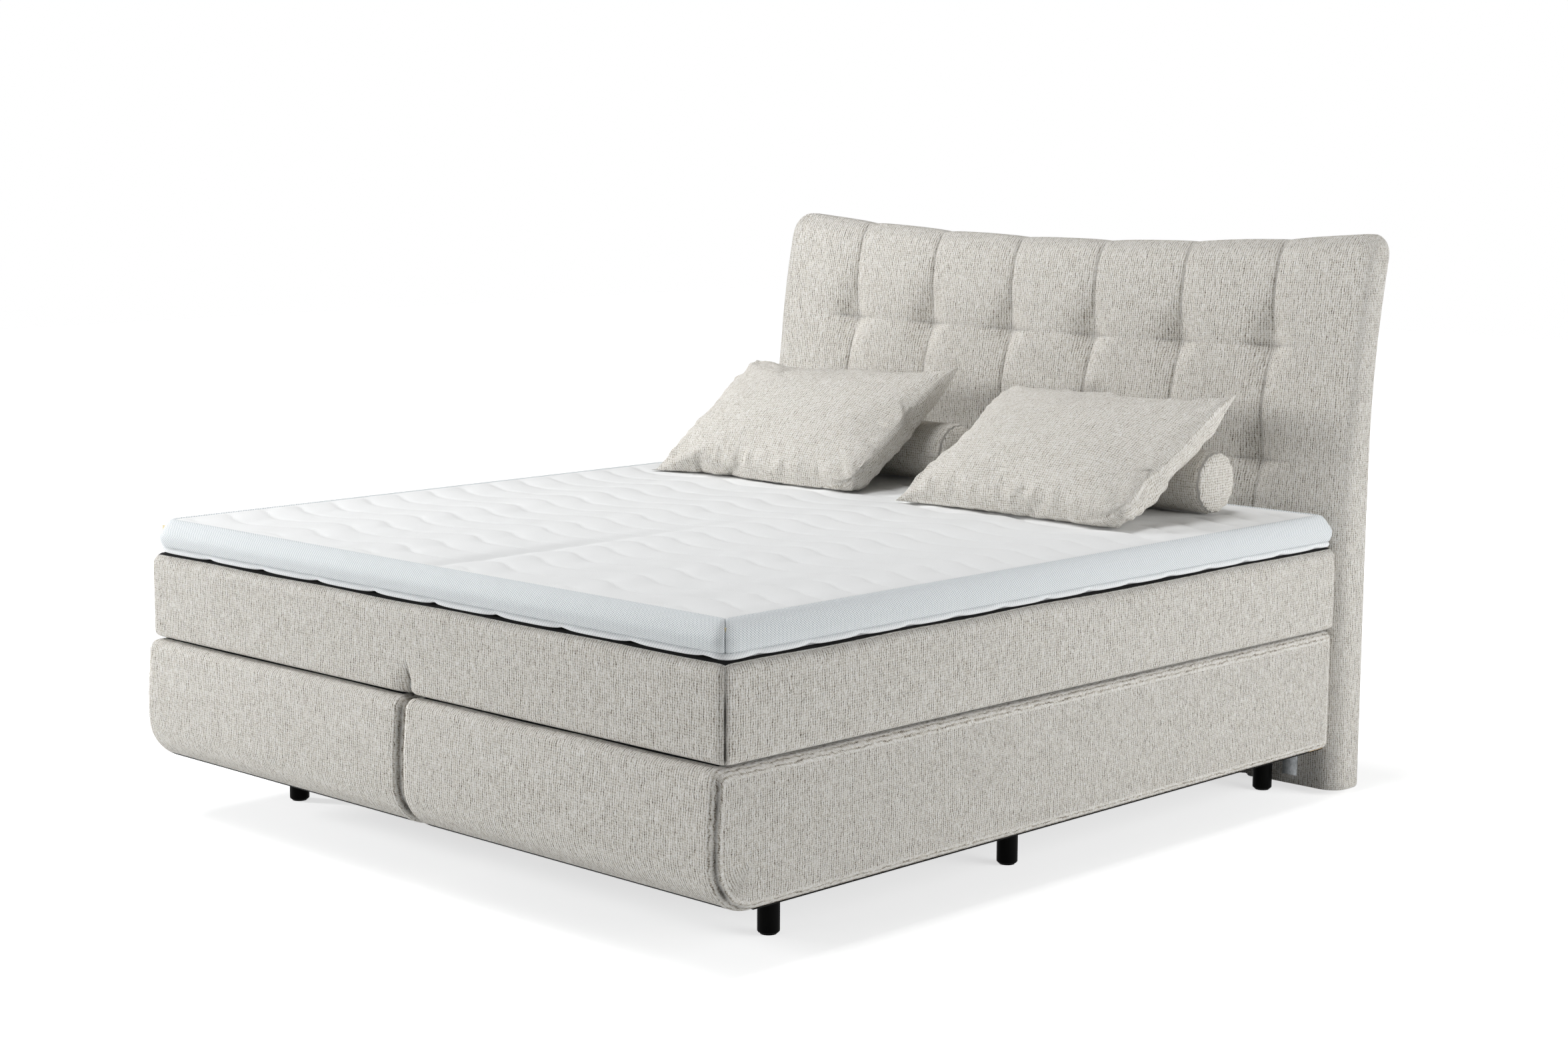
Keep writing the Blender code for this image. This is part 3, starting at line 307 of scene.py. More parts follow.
@dataclass(frozen=True)
class SpacerMesh:
    """Polyester spacer mesh: open white honeycomb over a grey-blue ground."""

    name: str = "polyester_spacer_mesh"
    cell_mm: float = 3.5

    def build(self) -> bpy.types.Material:
        """Honeycomb = cos(x) + cos(x/2 + 0.866 y) + cos(x/2 - 0.866 y) in turns of one cell."""
        material, tree, shader = new_material(self.name)
        uv = weave_place(tree)
        total = None
        for degrees in (0.0, 60.0, 120.0):
            across = (math.cos(math.radians(degrees)), math.sin(math.radians(degrees)), 0.0)
            along = add_node(tree, "VectorMath", {0: uv, 1: across}, operation="DOT_PRODUCT").outputs["Value"]
            wave = calc(tree, "COSINE", calc(tree, "MULTIPLY", along, math.tau / (self.cell_mm * MM)))
            total = wave if total is None else calc(tree, "ADD", total, wave)
        fine = grain(tree, uv, (1.2, 1.2, 1.0), 1.0)
        hole = calc(tree, "MULTIPLY_ADD", total, 0.28, calc(tree, "MULTIPLY", fine, 0.3))
        colour = steps(tree, hole, ((0.05, "e6e9eb"), (0.35, "d3d9dc"), (0.75, "8d979e")))
        height = calc(tree, "SUBTRACT", 1.0, hole)
        finish_surface(shader, colour, height, 0.7, 0.7, Roughness=0.75, Specular_IOR_Level=0.35)
        return material


@dataclass(frozen=True)
class NonWoven:
    """Spunbonded polypropylene: thin matt felt of pressed fibres that cross one another."""

    name: str
    low: str
    high: str

    def build(self) -> bpy.types.Material:
        """Fibres = product of two noises, one drawn out along Y and one along X."""
        material, tree, shader = new_material(self.name)
        place = object_place(tree)
        first = grain(tree, place, (0.8, 9.0, 3.0))
        second = grain(tree, place, (9.0, 0.8, 3.0))
        fibre = calc(tree, "MULTIPLY", first, second)
        colour = steps(tree, fibre, ((0.12, self.low), (0.42, self.high)))
        finish_surface(shader, colour, fibre, 0.3, 0.5, Roughness=0.95, Specular_IOR_Level=0.2)
        return material


@dataclass(frozen=True)
class Timber:
    """Planed spruce or birch plywood: warm pale wood with grain that runs along one axis."""

    name: str
    light: str
    dark: str
    grain_mm: tuple[float, float, float]

    def build(self) -> bpy.types.Material:
        """Grain = noise drawn out along the board, sharpened into growth lines by a sine."""
        material, tree, shader = new_material(self.name)
        place = object_place(tree)
        broad = grain(tree, place, self.grain_mm, 3.0)
        lines = calc(tree, "SINE", calc(tree, "MULTIPLY", broad, 60.0))
        pores = grain(tree, place, tuple(size / 8 for size in self.grain_mm), 2.0)
        height = calc(tree, "MULTIPLY_ADD", lines, 0.25, pores)
        colour = steps(tree, height, ((0.2, self.dark), (0.75, self.light)))
        finish_surface(shader, colour, height, 0.2, 0.35, Roughness=0.6)
        return material


@dataclass(frozen=True)
class Foam:
    """Cut polyether foam or felt: open cells about 1 mm wide, fully matt."""

    name: str
    low: str
    high: str

    def build(self) -> bpy.types.Material:
        """Cells = Voronoi distance at 1.2 mm with soft clouding at 40 mm."""
        material, tree, shader = new_material(self.name)
        place = object_place(tree)
        cells = add_node(tree, "TexVoronoi", {"Vector": place, "Scale": 1 / (1.2 * MM)}).outputs[0]
        cloud = grain(tree, place, (40.0, 40.0, 40.0))
        mixed = calc(tree, "MULTIPLY_ADD", cells, 0.5, calc(tree, "MULTIPLY", cloud, 0.5))
        colour = steps(tree, mixed, ((0.2, self.low), (0.7, self.high)))
        finish_surface(shader, colour, cells, 0.6, 0.5, Roughness=0.95)
        return material


@dataclass(frozen=True)
class BlackLacquer:
    """Black satin lacquer on turned beech: smooth, with a faint orange peel."""

    name: str = "black_satin_lacquer"

    def build(self) -> bpy.types.Material:
        """Orange peel = noise at 2.5 mm, very shallow, and slight wear in the tone."""
        material, tree, shader = new_material(self.name)
        place = object_place(tree)
        peel = grain(tree, place, (2.5, 2.5, 2.5))
        colour = steps(tree, grain(tree, place, (25.0, 25.0, 60.0)), ((0.3, "060606"), (0.7, "0b0b0a")))
        finish_surface(shader, colour, peel, 0.05, 0.4, Roughness=0.45, Specular_IOR_Level=0.03)
        return material


@dataclass(frozen=True)
class ZincPlate:
    """Bright zinc-plated steel: cool metal with cloudy crystal patches and rolled streaks."""

    name: str = "zinc_plated_steel"

    def build(self) -> bpy.types.Material:
        """Clouds at 6 mm tint the plating; streaks 0.4 mm wide run along Y in the relief."""
        material, tree, shader = new_material(self.name)
        place = object_place(tree)
        cloud = grain(tree, place, (6.0, 6.0, 6.0))
        streak = grain(tree, place, (0.4, 30.0, 0.4))
        colour = steps(tree, cloud, ((0.3, "a9adb0"), (0.7, "cfd2d4")))
        finish_surface(shader, colour, streak, 0.03, 0.4, Metallic=1.0, Roughness=0.38)
        return material


@dataclass(frozen=True)
class BlackPlastic:
    """Moulded black polyethylene with a fine spark-eroded texture."""

    name: str = "moulded_black_polyethylene"

    def build(self) -> bpy.types.Material:
        """Texture = noise at 0.6 mm."""
        material, tree, shader = new_material(self.name)
        place = object_place(tree)
        pits = grain(tree, place, (0.6, 0.6, 0.6))
        colour = steps(tree, pits, ((0.3, "121212"), (0.7, "1d1d1d")))
        finish_surface(shader, colour, pits, 0.05, 0.5, Roughness=0.5, IOR=1.51)
        return material


# Surfaces


def box_of(node: str) -> tuple[Array, Array]:
    """Lowest and highest corner of a CAD node."""
    low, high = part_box(node)
    return np.array(low), np.array(high)


def lines_of(low: Array, high: Array, axis: int, step: float, fine: float, reach: float) -> Array:
    """Grid lines of a box along one axis, closer at its two sides."""
    return grid_lines(low[axis], high[axis], step, fine, reach, (low[axis], high[axis]))


def rim_gap(points: Array, low: Array, high: Array) -> Array:
    """Distance from the nearest of the box's four upright sides."""
    return np.minimum(points[:, :2] - low[:2], high[:2] - points[:, :2]).min(axis=1)


def link_piece(name: str, data: bpy.types.ID) -> bpy.types.Object:
    """Put a mesh, lamp or camera into the scene as an object at the origin."""
    piece = bpy.data.objects.new(name, data)
    bpy.context.scene.collection.objects.link(piece)
    return piece


def ease(share: Array) -> Array:
    """Smooth step 3 t^2 - 2 t^3 from 0 to 1."""
    share = np.clip(share, 0.0, 1.0)
    return share * share * (3.0 - 2.0 * share)


def full(share: Array) -> Array:
    """Round profile of padding, sqrt(1 - (1 - t)^2), from a seam at 0 to the crown at 1."""
    return np.sqrt(np.maximum(0.0, 1.0 - (1.0 - np.clip(share, 0.0, 1.0)) ** 2))


def bump_at(value: Array, width: float) -> Array:
    """Bell exp(-(v / w)^2)."""
    return np.exp(-((value / width) ** 2))


def swell(a: Array, b: Array, length: float, seed: int) -> Array:
    """Uneven soft swell, the mean of seven sine waves of about one length in seeded directions.

    Args:
        a: first coordinate in metres.
        b: second coordinate in metres.
        length: mean wave length in metres.
        seed: seed of the directions, lengths and phases.

    Returns:
        Values of about -1 to 1.
    """
    draw = np.random.default_rng(seed)
    total = np.zeros(np.broadcast(a, b).shape)
    for _ in range(7):
        heading, phase = draw.uniform(0.0, math.tau, 2)
        pace = math.tau / (length * draw.uniform(0.6, 1.6))
        total += np.sin(pace * (a * math.cos(heading) + b * math.sin(heading)) + phase)
    return total / 4.0


def grid_lines(
    low: float, high: float, step: float, fine: float, reach: float, knots: tuple[float, ...]
) -> Array:
    """Lines from low to high, a step apart and closer about the knots.

    The line density is 1/step + (1/fine - 1/step) exp(-(d / reach)^2) with d the distance to a knot.

    Args:
        low: first line.
        high: last line.
        step: spacing far from the knots.
        fine: spacing at a knot.
        reach: how far a knot acts.
        knots: positions that need close lines.

    Returns:
        The sorted positions.
    """
    place = np.linspace(low, high, 6001)
    near = np.zeros_like(place)
    for knot in knots:
        near = np.maximum(near, bump_at(place - knot, reach))
    density = 1.0 / step + (1.0 / fine - 1.0 / step) * near
    total = np.concatenate([[0.0], np.cumsum((density[1:] + density[:-1]) / 2 * np.diff(place))])
    count = int(math.ceil(total[-1]))
    return np.interp(np.linspace(0.0, total[-1], count + 1), total, place)


def quads_of(grid: Array, flip: bool) -> Array:
    """Four-cornered faces of a grid of point numbers, turned round if flip is true."""
    faces = np.stack([grid[:-1, :-1], grid[1:, :-1], grid[1:, 1:], grid[:-1, 1:]], -1).reshape(-1, 4)
    return faces[:, ::-1] if flip else faces


@dataclass
class Skin:
    """Closed surface of a box on its grid lines, before it is shaped.

    The faces come in the order -X, +X, -Y, +Y, -Z, +Z, and side says which one each belongs to.
    """

    points: Array
    quads: Array
    uv: Array
    side: Array

    @classmethod
    def of(cls, xs: Array, ys: Array, zs: Array) -> "Skin":
        """Skin of the box with these grid lines.

        Args:
            xs: lines across.
            ys: lines along.
            zs: lines upwards.

        Returns:
            The welded closed skin, with the flat position on each face as its weave coordinates.
        """
        shape = (len(xs), len(ys), len(zs))
        shown = np.zeros(shape, bool)
        shown[[0, -1]] = True
        shown[:, [0, -1]] = True
        shown[:, :, [0, -1]] = True
        number = np.full(shape, -1)
        number[shown] = np.arange(shown.sum())
        points = np.stack(np.meshgrid(xs, ys, zs, indexing="ij"), -1)[shown]
        sheets = [
            (number[0], True, (1, 2)),
            (number[-1], False, (1, 2)),
            (number[:, 0], False, (0, 2)),
            (number[:, -1], True, (0, 2)),
            (number[:, :, 0], True, (0, 1)),
            (number[:, :, -1], False, (0, 1)),
        ]
        faces = [quads_of(grid, flip) for grid, flip, _ in sheets]
        flat = [points[quad][..., list(axes)] for quad, (_, _, axes) in zip(faces, sheets)]
        side = np.repeat(np.arange(6), [len(quad) for quad in faces])
        return cls(points, np.concatenate(faces), np.concatenate(flat), side)

    def dark_faces(self, low: Array, high: Array, inset: float) -> Array:
        """Material number of each face: 1 on top and below further in than the inset, else 0."""
        centre = self.points[self.quads].mean(axis=1)
        return ((self.side >= 4) & (rim_gap(centre, low, high) > inset)).astype(int)


def round_pair(
    a: Array, b: Array, low: Array, high: Array, corners: dict[tuple[int, int], float], inset: Array
) -> tuple[Array, Array]:
    """Carry points of a rectangle over to one with round corners, drawn in all round by an inset.

    In a corner of radius r and centre c, e = (p - c) / r goes to e max|e| / |e|, so that squares
    about c become circles.

    Args:
        a: first coordinate of the points.
        b: second coordinate of the points.
        low: lowest values of a and b.
        high: highest values of a and b.
        corners: radius of each corner by its signs, such as (-1, 1).
        inset: how far the outline is drawn in.

    Returns:
        The moved coordinates a and b.
    """
    a = low[0] + inset + (a - low[0]) * (high[0] - low[0] - 2 * inset) / (high[0] - low[0])
    b = low[1] + inset + (b - low[1]) * (high[1] - low[1] - 2 * inset) / (high[1] - low[1])
    for (sign_a, sign_b), radius in corners.items():
        left = np.maximum(radius - inset, 0.001)
        centre_a = (high[0] - inset - left) if sign_a > 0 else (low[0] + inset + left)
        centre_b = (high[1] - inset - left) if sign_b > 0 else (low[1] + inset + left)
        over_a = np.clip((a - centre_a) * sign_a / left, 0.0, None)
        over_b = np.clip((b - centre_b) * sign_b / left, 0.0, None)
        inside = (over_a > 0) & (over_b > 0)
        length = np.where(inside, np.hypot(over_a, over_b), 1.0)
        scale = np.maximum(over_a, over_b) / length
        a = np.where(inside, centre_a + sign_a * over_a * scale * left, a)
        b = np.where(inside, centre_b + sign_b * over_b * scale * left, b)
    return a, b


def round_box(points: Array, low: Array, high: Array, below: Array, above: Array) -> Array:
    """Round all edges of a box, with a radius for each of its six sides.

    With q the nearest point of the core and e = (p - q) / r, a point goes to q + r e max|e| / |e|.

    Args:
        points: points on the box.
        low: its lowest corner.
        high: its highest corner.
        below: radii at the low sides.
        above: radii at the high sides.

    Returns:
        The moved points.
    """
    core = np.clip(points, low + below, high - above)
    away = points - core
    radius = np.where(away < 0, below, above)
    away = away / radius
    length = np.linalg.norm(away, axis=1)
    scale = np.abs(away).max(axis=1) / np.where(length > 0, length, 1.0)
    return core + away * scale[:, None] * radius


def make_piece(
    name: str, points: Array, quads: Array, uv: Array | None, finishes: list, which: Array | None = None
) -> bpy.types.Object:
    """Put computed arrays into a new smooth mesh object at the origin.

    Args:
        name: the piece's name.
        points: positions in metres.
        quads: faces as point numbers.
        uv: weave coordinates of each face corner in metres, or None.
        finishes: the materials.
        which: material number of each face, or None for the first.

    Returns:
        The new object.
    """
    mesh = bpy.data.meshes.new(name)
    mesh.from_pydata(points.tolist(), [], quads.tolist())
    for finish in finishes:
        mesh.materials.append(finish)
    count = len(mesh.polygons)
    mesh.polygons.foreach_set("use_smooth", np.ones(count, bool))
    if which is not None:
        mesh.polygons.foreach_set("material_index", which.astype(np.int32))
    if uv is not None:
        layer = mesh.uv_layers.new(name="weave")
        layer.uv.foreach_set("vector", uv.reshape(-1).astype(np.float32))
    mesh.update()
    return link_piece(name, mesh)


def make_rings(
    name: str, rings: Array, poles: Array, finish: bpy.types.Material
) -> tuple[bpy.types.Object, Array, Array]:
    """Join rings of points to a smooth closed mesh object, with a pole at each end.

    Args:
        name: the piece's name.
        rings: the points, ring by point by coordinate.
        poles: the points that close the first and the last ring.
        finish: the material.

    Returns:
        The new object, its points, and the triangles about the poles, which come after the quads.
    """
    count, sides = rings.shape[:2]
    grid = np.arange(count * sides).reshape(count, sides)
    grid = np.concatenate([grid, grid[:, :1]], axis=1)
    first = np.stack([grid[0, :-1], np.full(sides, count * sides), grid[0, 1:]], 1)
    last = np.stack([grid[-1, 1:], np.full(sides, count * sides + 1), grid[-1, :-1]], 1)
    fans = np.concatenate([first, last])
    points = np.concatenate([rings.reshape(-1, 3), poles])
    mesh = bpy.data.meshes.new(name)
    mesh.from_pydata(points.tolist(), [], quads_of(grid, True).tolist() + fans.tolist())
    mesh.materials.append(finish)
    mesh.shade_smooth()
    return link_piece(name, mesh), points, fans


def paint_seam_shade(piece: bpy.types.Object, share: Array) -> None:
    """Store the painted shade of each point, from 0 to 1, by how deep it lies in a seam, for the cloth's
    colour.
    """
    layer = piece.data.attributes.new("crease", "FLOAT", "POINT")
    layer.data.foreach_set("value", np.clip(share, 0.0, 1.0).astype(np.float32))


def seat(piece: bpy.types.Object, body: str, slot: str, *nodes: str, fill: float | None = None) -> None:
    """Hang a finished piece on its body and hide the CAD nodes that it replaces.

    Args:
        piece: the new piece.
        body: the body it moves with.
        slot: material slot of the record; not used.
        nodes: CAD nodes that it replaces.
        fill: how tightly it is stuffed, or None for a piece that isn't padded; not used.
    """
    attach(piece, body)
    if nodes:
        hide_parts(*nodes)
    LOG.info("%s: %d faces", piece.name, len(piece.data.polygons))


@dataclass
class Finishes:
    """Every material of the bed, built once."""

    upholstery: bpy.types.Material
    cushion: bpy.types.Material
    pique: bpy.types.Material
    twill: bpy.types.Material
    mesh: bpy.types.Material
    felt: bpy.types.Material
    lacquer: bpy.types.Material
    by_slot: dict[str, bpy.types.Material]

    @classmethod
    def build(cls) -> "Finishes":
        """Build the finishes and sort the carried-over ones by the record's slots."""
        upholstery = Chenille("greige_chenille", Lay.RIBBED).build()
        cushion = Chenille("greige_cushion_chenille", Lay.CROSSED, weft_mm=6.0, fuzz=1.3).build()
        felt = NonWoven("black_spunbond", "0a0a0a", "1a1a1a").build()
        lacquer = BlackLacquer().build()
        foam = Foam("polyether_foam", "d8c79a", "efe3c0").build()
        pique = Ticking("pique_knit_ticking", Knit.PIQUE).build()
        by_slot = {
            "upholstery": upholstery,
            "cushion_cloth": cushion,
            "topper_cloth": NonWoven("white_spunbond", "d5d8d8", "eceeee").build(),
            "foam": foam,
            "spring_felt": NonWoven("pocket_spunbond", "c4c6c4", "e4e5e2").build(),
            "timber": Timber("planed_spruce", "e2c79a", "c39a66", (6.0, 120.0, 6.0)).build(),
            "plywood": Timber("birch_plywood", "dcc196", "bd9763", (9.0, 9.0, 90.0)).build(),
            "black_cloth": felt,
            "black_lacquer": lacquer,
            "zinc_steel": ZincPlate().build(),
            "black_plastic": BlackPlastic().build(),
        }
        twill = Ticking("twill_knit_ticking", Knit.TWILL).build()
        return cls(upholstery, cushion, pique, twill, SpacerMesh().build(), felt, lacquer, by_slot)

    def dress_nodes(self) -> None:
        """Give every CAD node the finish of its slot in the record."""
        for row in frame["record"]["subparts"]:
            mesh = frame["nodes"][row["node"]].data
            mesh.materials.clear()
            mesh.materials.append(self.by_slot[row["material_slot"]])


# Spring boxes


@dataclass
class SpringBox:
    """One upholstered box: rounded foot, eased edges, corner seams and a dark anti-slip top."""

    side: str
    edge: float = 0.022
    foot_round: float = 0.105
    crown: float = 0.008
    crown_start: float = 0.15
    puff: float = 0.0035
    seam_depth: float = 0.007
    seam_share: float = 0.16
    dark_inset: float = 0.012
    recess: float = 0.0035
    hem: float = 0.006
    front_top: float = 0.024
    back_round: float = 0.020
    foot_reach: float = 0.16
    end_reach: float = 0.05
    face_depth: float = 0.020
    top_waves: float = 0.0012

    def shape(self, skin: Skin, low: Array, high: Array) -> tuple[Array, Array]:
        """Round the box, swell its faces and press in the corner seams.

        Near a side face the section is drawn in by r (1 - cos u) while x goes out by r sin u.

        Args:
            skin: the box on its grid lines.
            low: lowest corner.
            high: highest corner.

        Returns:
            The points and how deep each lies in a seam.
        """
        x, y, z = skin.points.T
        middle = (low[0] + high[0]) / 2
        half = (high[0] - low[0]) / 2
        sign = np.sign(x - middle)
        over = np.clip((np.abs(x - middle) - half + self.edge) / self.edge, 0.0, 1.0)
        angle = over * math.pi / 2
        inset = self.edge * (1.0 - np.cos(angle))
        x = np.where(over > 0, middle + sign * (half - self.edge + self.edge * np.sin(angle)), x)
        corners = {(-1, -1): self.foot_round, (1, -1): self.back_round}
        corners |= {(-1, 1): self.front_top, (1, 1): self.back_round}
        y, z = round_pair(y, z, low[1:], high[1:], corners, inset)
        foot = ease(1.0 - (y - low[1]) / self.foot_reach)
        rise = (z - low[2] - self.crown_start) / (high[2] - low[2] - self.crown_start)
        y = y + self.crown * ease(rise) * foot
        level = (z - low[2]) / (high[2] - low[2])
        belly = np.sin(math.pi * np.clip(level, 0.0, 1.0))
        ends = ease((y - low[1]) / self.end_reach) * ease((high[1] - y) / self.end_reach)
        outer = (over >= 1.0) * ends
        x = x + sign * outer * belly * self.puff * (0.8 + 0.35 * swell(y, z, 0.5, 11))
        face = (y < low[1] + self.face_depth) & (over < 1.0)
        y = y - face * self.puff * 0.6 * (1.0 - over) * (0.5 + 0.5 * swell(x, z, 0.4, 5)) * belly
        z = z + self.top_waves * swell(x, y, 0.30, 3) * (level > 0.97) * (1 - over)
        cloth_low, cloth_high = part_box(f"box_{self.side}_dust_cover")
        under = np.minimum(x - cloth_low.x, cloth_high.x - x)
        under = np.minimum(under, np.minimum(y - cloth_low.y, cloth_high.y - y))
        z = z + self.recess * ease((under + self.hem) / self.hem) * (level < 0.01) * (over < 1.0)
        groove = bump_at(over - 0.55, self.seam_share) * (over < 1.0) * foot * ease(level / 0.1 + 0.3)
        groove = groove * ease((0.985 - level) / 0.12) * (0.75 + 0.25 * swell(z, y, 0.06, 8))
        x = x - sign * groove * self.seam_depth
        y = y + groove * self.seam_depth
        return np.stack([x, y, z], 1), groove

    def build(self, finishes: Finishes) -> None:
        """Make the box's upholstery with its corner seams; its top and its underside are dark."""
        cover = f"box_{self.side}_cover"
        low, high = box_of(cover)
        xs = lines_of(low, high, 0, 0.016, 0.0022, 0.018)
        ys = lines_of(low, high, 1, 0.018, 0.005, 0.05)
        zs = lines_of(low, high, 2, 0.012, 0.0035, 0.022)
        skin = Skin.of(xs, ys, zs)
        points, groove = self.shape(skin, low, high)
        which = skin.dark_faces(low, high, self.edge + self.dark_inset)
        cloths = [finishes.upholstery, finishes.felt]
        piece = make_piece(f"box_{self.side}_upholstery", points, skin.quads, skin.uv, cloths, which)
        # Painted shade in the corner seams.
        paint_seam_shade(piece, groove * 0.9)
        seat(piece, "bed_base", "upholstery", cover, fill=0.8)


@dataclass
class DustCover:
    """Thin black spunbond stapled under a box: pinned by the legs, with a slight sag between them."""

    side: str
    sag: float = 0.003
    taut: float = 0.25
    pinned: float = 0.06

    def build(self, finishes: Finishes) -> None:
        """Stretch the cloth under the box: z = z0 - sag e(dx) e(dy), and no sag at a leg."""
        node = f"box_{self.side}_dust_cover"
        low, high = box_of(node)
        xs = lines_of(low, high, 0, 0.015, 0.008, 0.03)
        ys = lines_of(low, high, 1, 0.015, 0.008, 0.03)
        skin = Skin.of(xs, ys, np.array([low[2], high[2]]))
        x, y, z = skin.points.T
        hang = ease(np.minimum(x - low[0], high[0] - x) / self.taut)
        hang = hang * ease(np.minimum(y - low[1], high[1] - y) / self.taut)
        for name in frame["nodes"]:
            if name.startswith(f"box_{self.side}_leg_"):
                leg_low, leg_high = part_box(name)
                centre = (leg_low + leg_high) / 2
                hang = hang * (1.0 - bump_at(np.hypot(x - centre.x, y - centre.y), self.pinned))
        z = z - self.sag * hang * (0.8 + 0.3 * swell(x, y, 0.3, 81))
        points = np.stack([x, y, z], 1)
        piece = make_piece(f"{node}_sheet", points, skin.quads, skin.uv, [finishes.felt])
        seat(piece, "bed_base", "black_cloth", node)


@dataclass
class Leg:
    """Turned leg: straight black post with an eased foot, a glide under it and a stud on top."""

    node: str
    sides: int = 56
    edge: float = 0.0045
    glide: float = 0.003
    glide_inset: float = 0.0055
    stud: float = 0.004

    def build(self, finishes: Finishes) -> None:
        """Turn the leg's profile about its axis: points (r cos t, r sin t, h)."""
        low, high = box_of(self.node)
        centre = (low + high) / 2
        radius = (high[0] - low[0]) / 2
        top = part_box("link_plate_foot")[1].z
        turn = np.linspace(0.0, math.pi / 2, 7)
        foot_r = radius - self.edge + self.edge * np.sin(turn)
        foot_h = self.glide + self.edge * (1.0 - np.cos(turn))
        pad = radius - self.glide_inset
        profile = [(radius - 0.006, 0.0), (pad, 0.0006), (pad, self.glide), *zip(foot_r, foot_h)]
        profile += [(radius, top * 0.5), (radius, top - 0.001), (radius - 0.001, top)]
        profile += [(self.stud, top), (self.stud, high[2])]
        out, up = np.array(profile).T[..., None]
        angle = np.arange(self.sides) * math.tau / self.sides
        x = centre[0] + out * np.cos(angle)
        y = centre[1] + out * np.sin(angle)
        rings = np.stack([x, y, np.broadcast_to(up, x.shape)], -1)
        poles = np.array([[centre[0], centre[1], level] for level in (0.0, high[2])])
        piece, _, _ = make_rings(self.node + "_turned", rings, poles, finishes.lacquer)
        piece.data.set_sharp_from_angle(angle=math.radians(40))
        seat(piece, "bed_base", "black_lacquer", self.node)


# Headboard


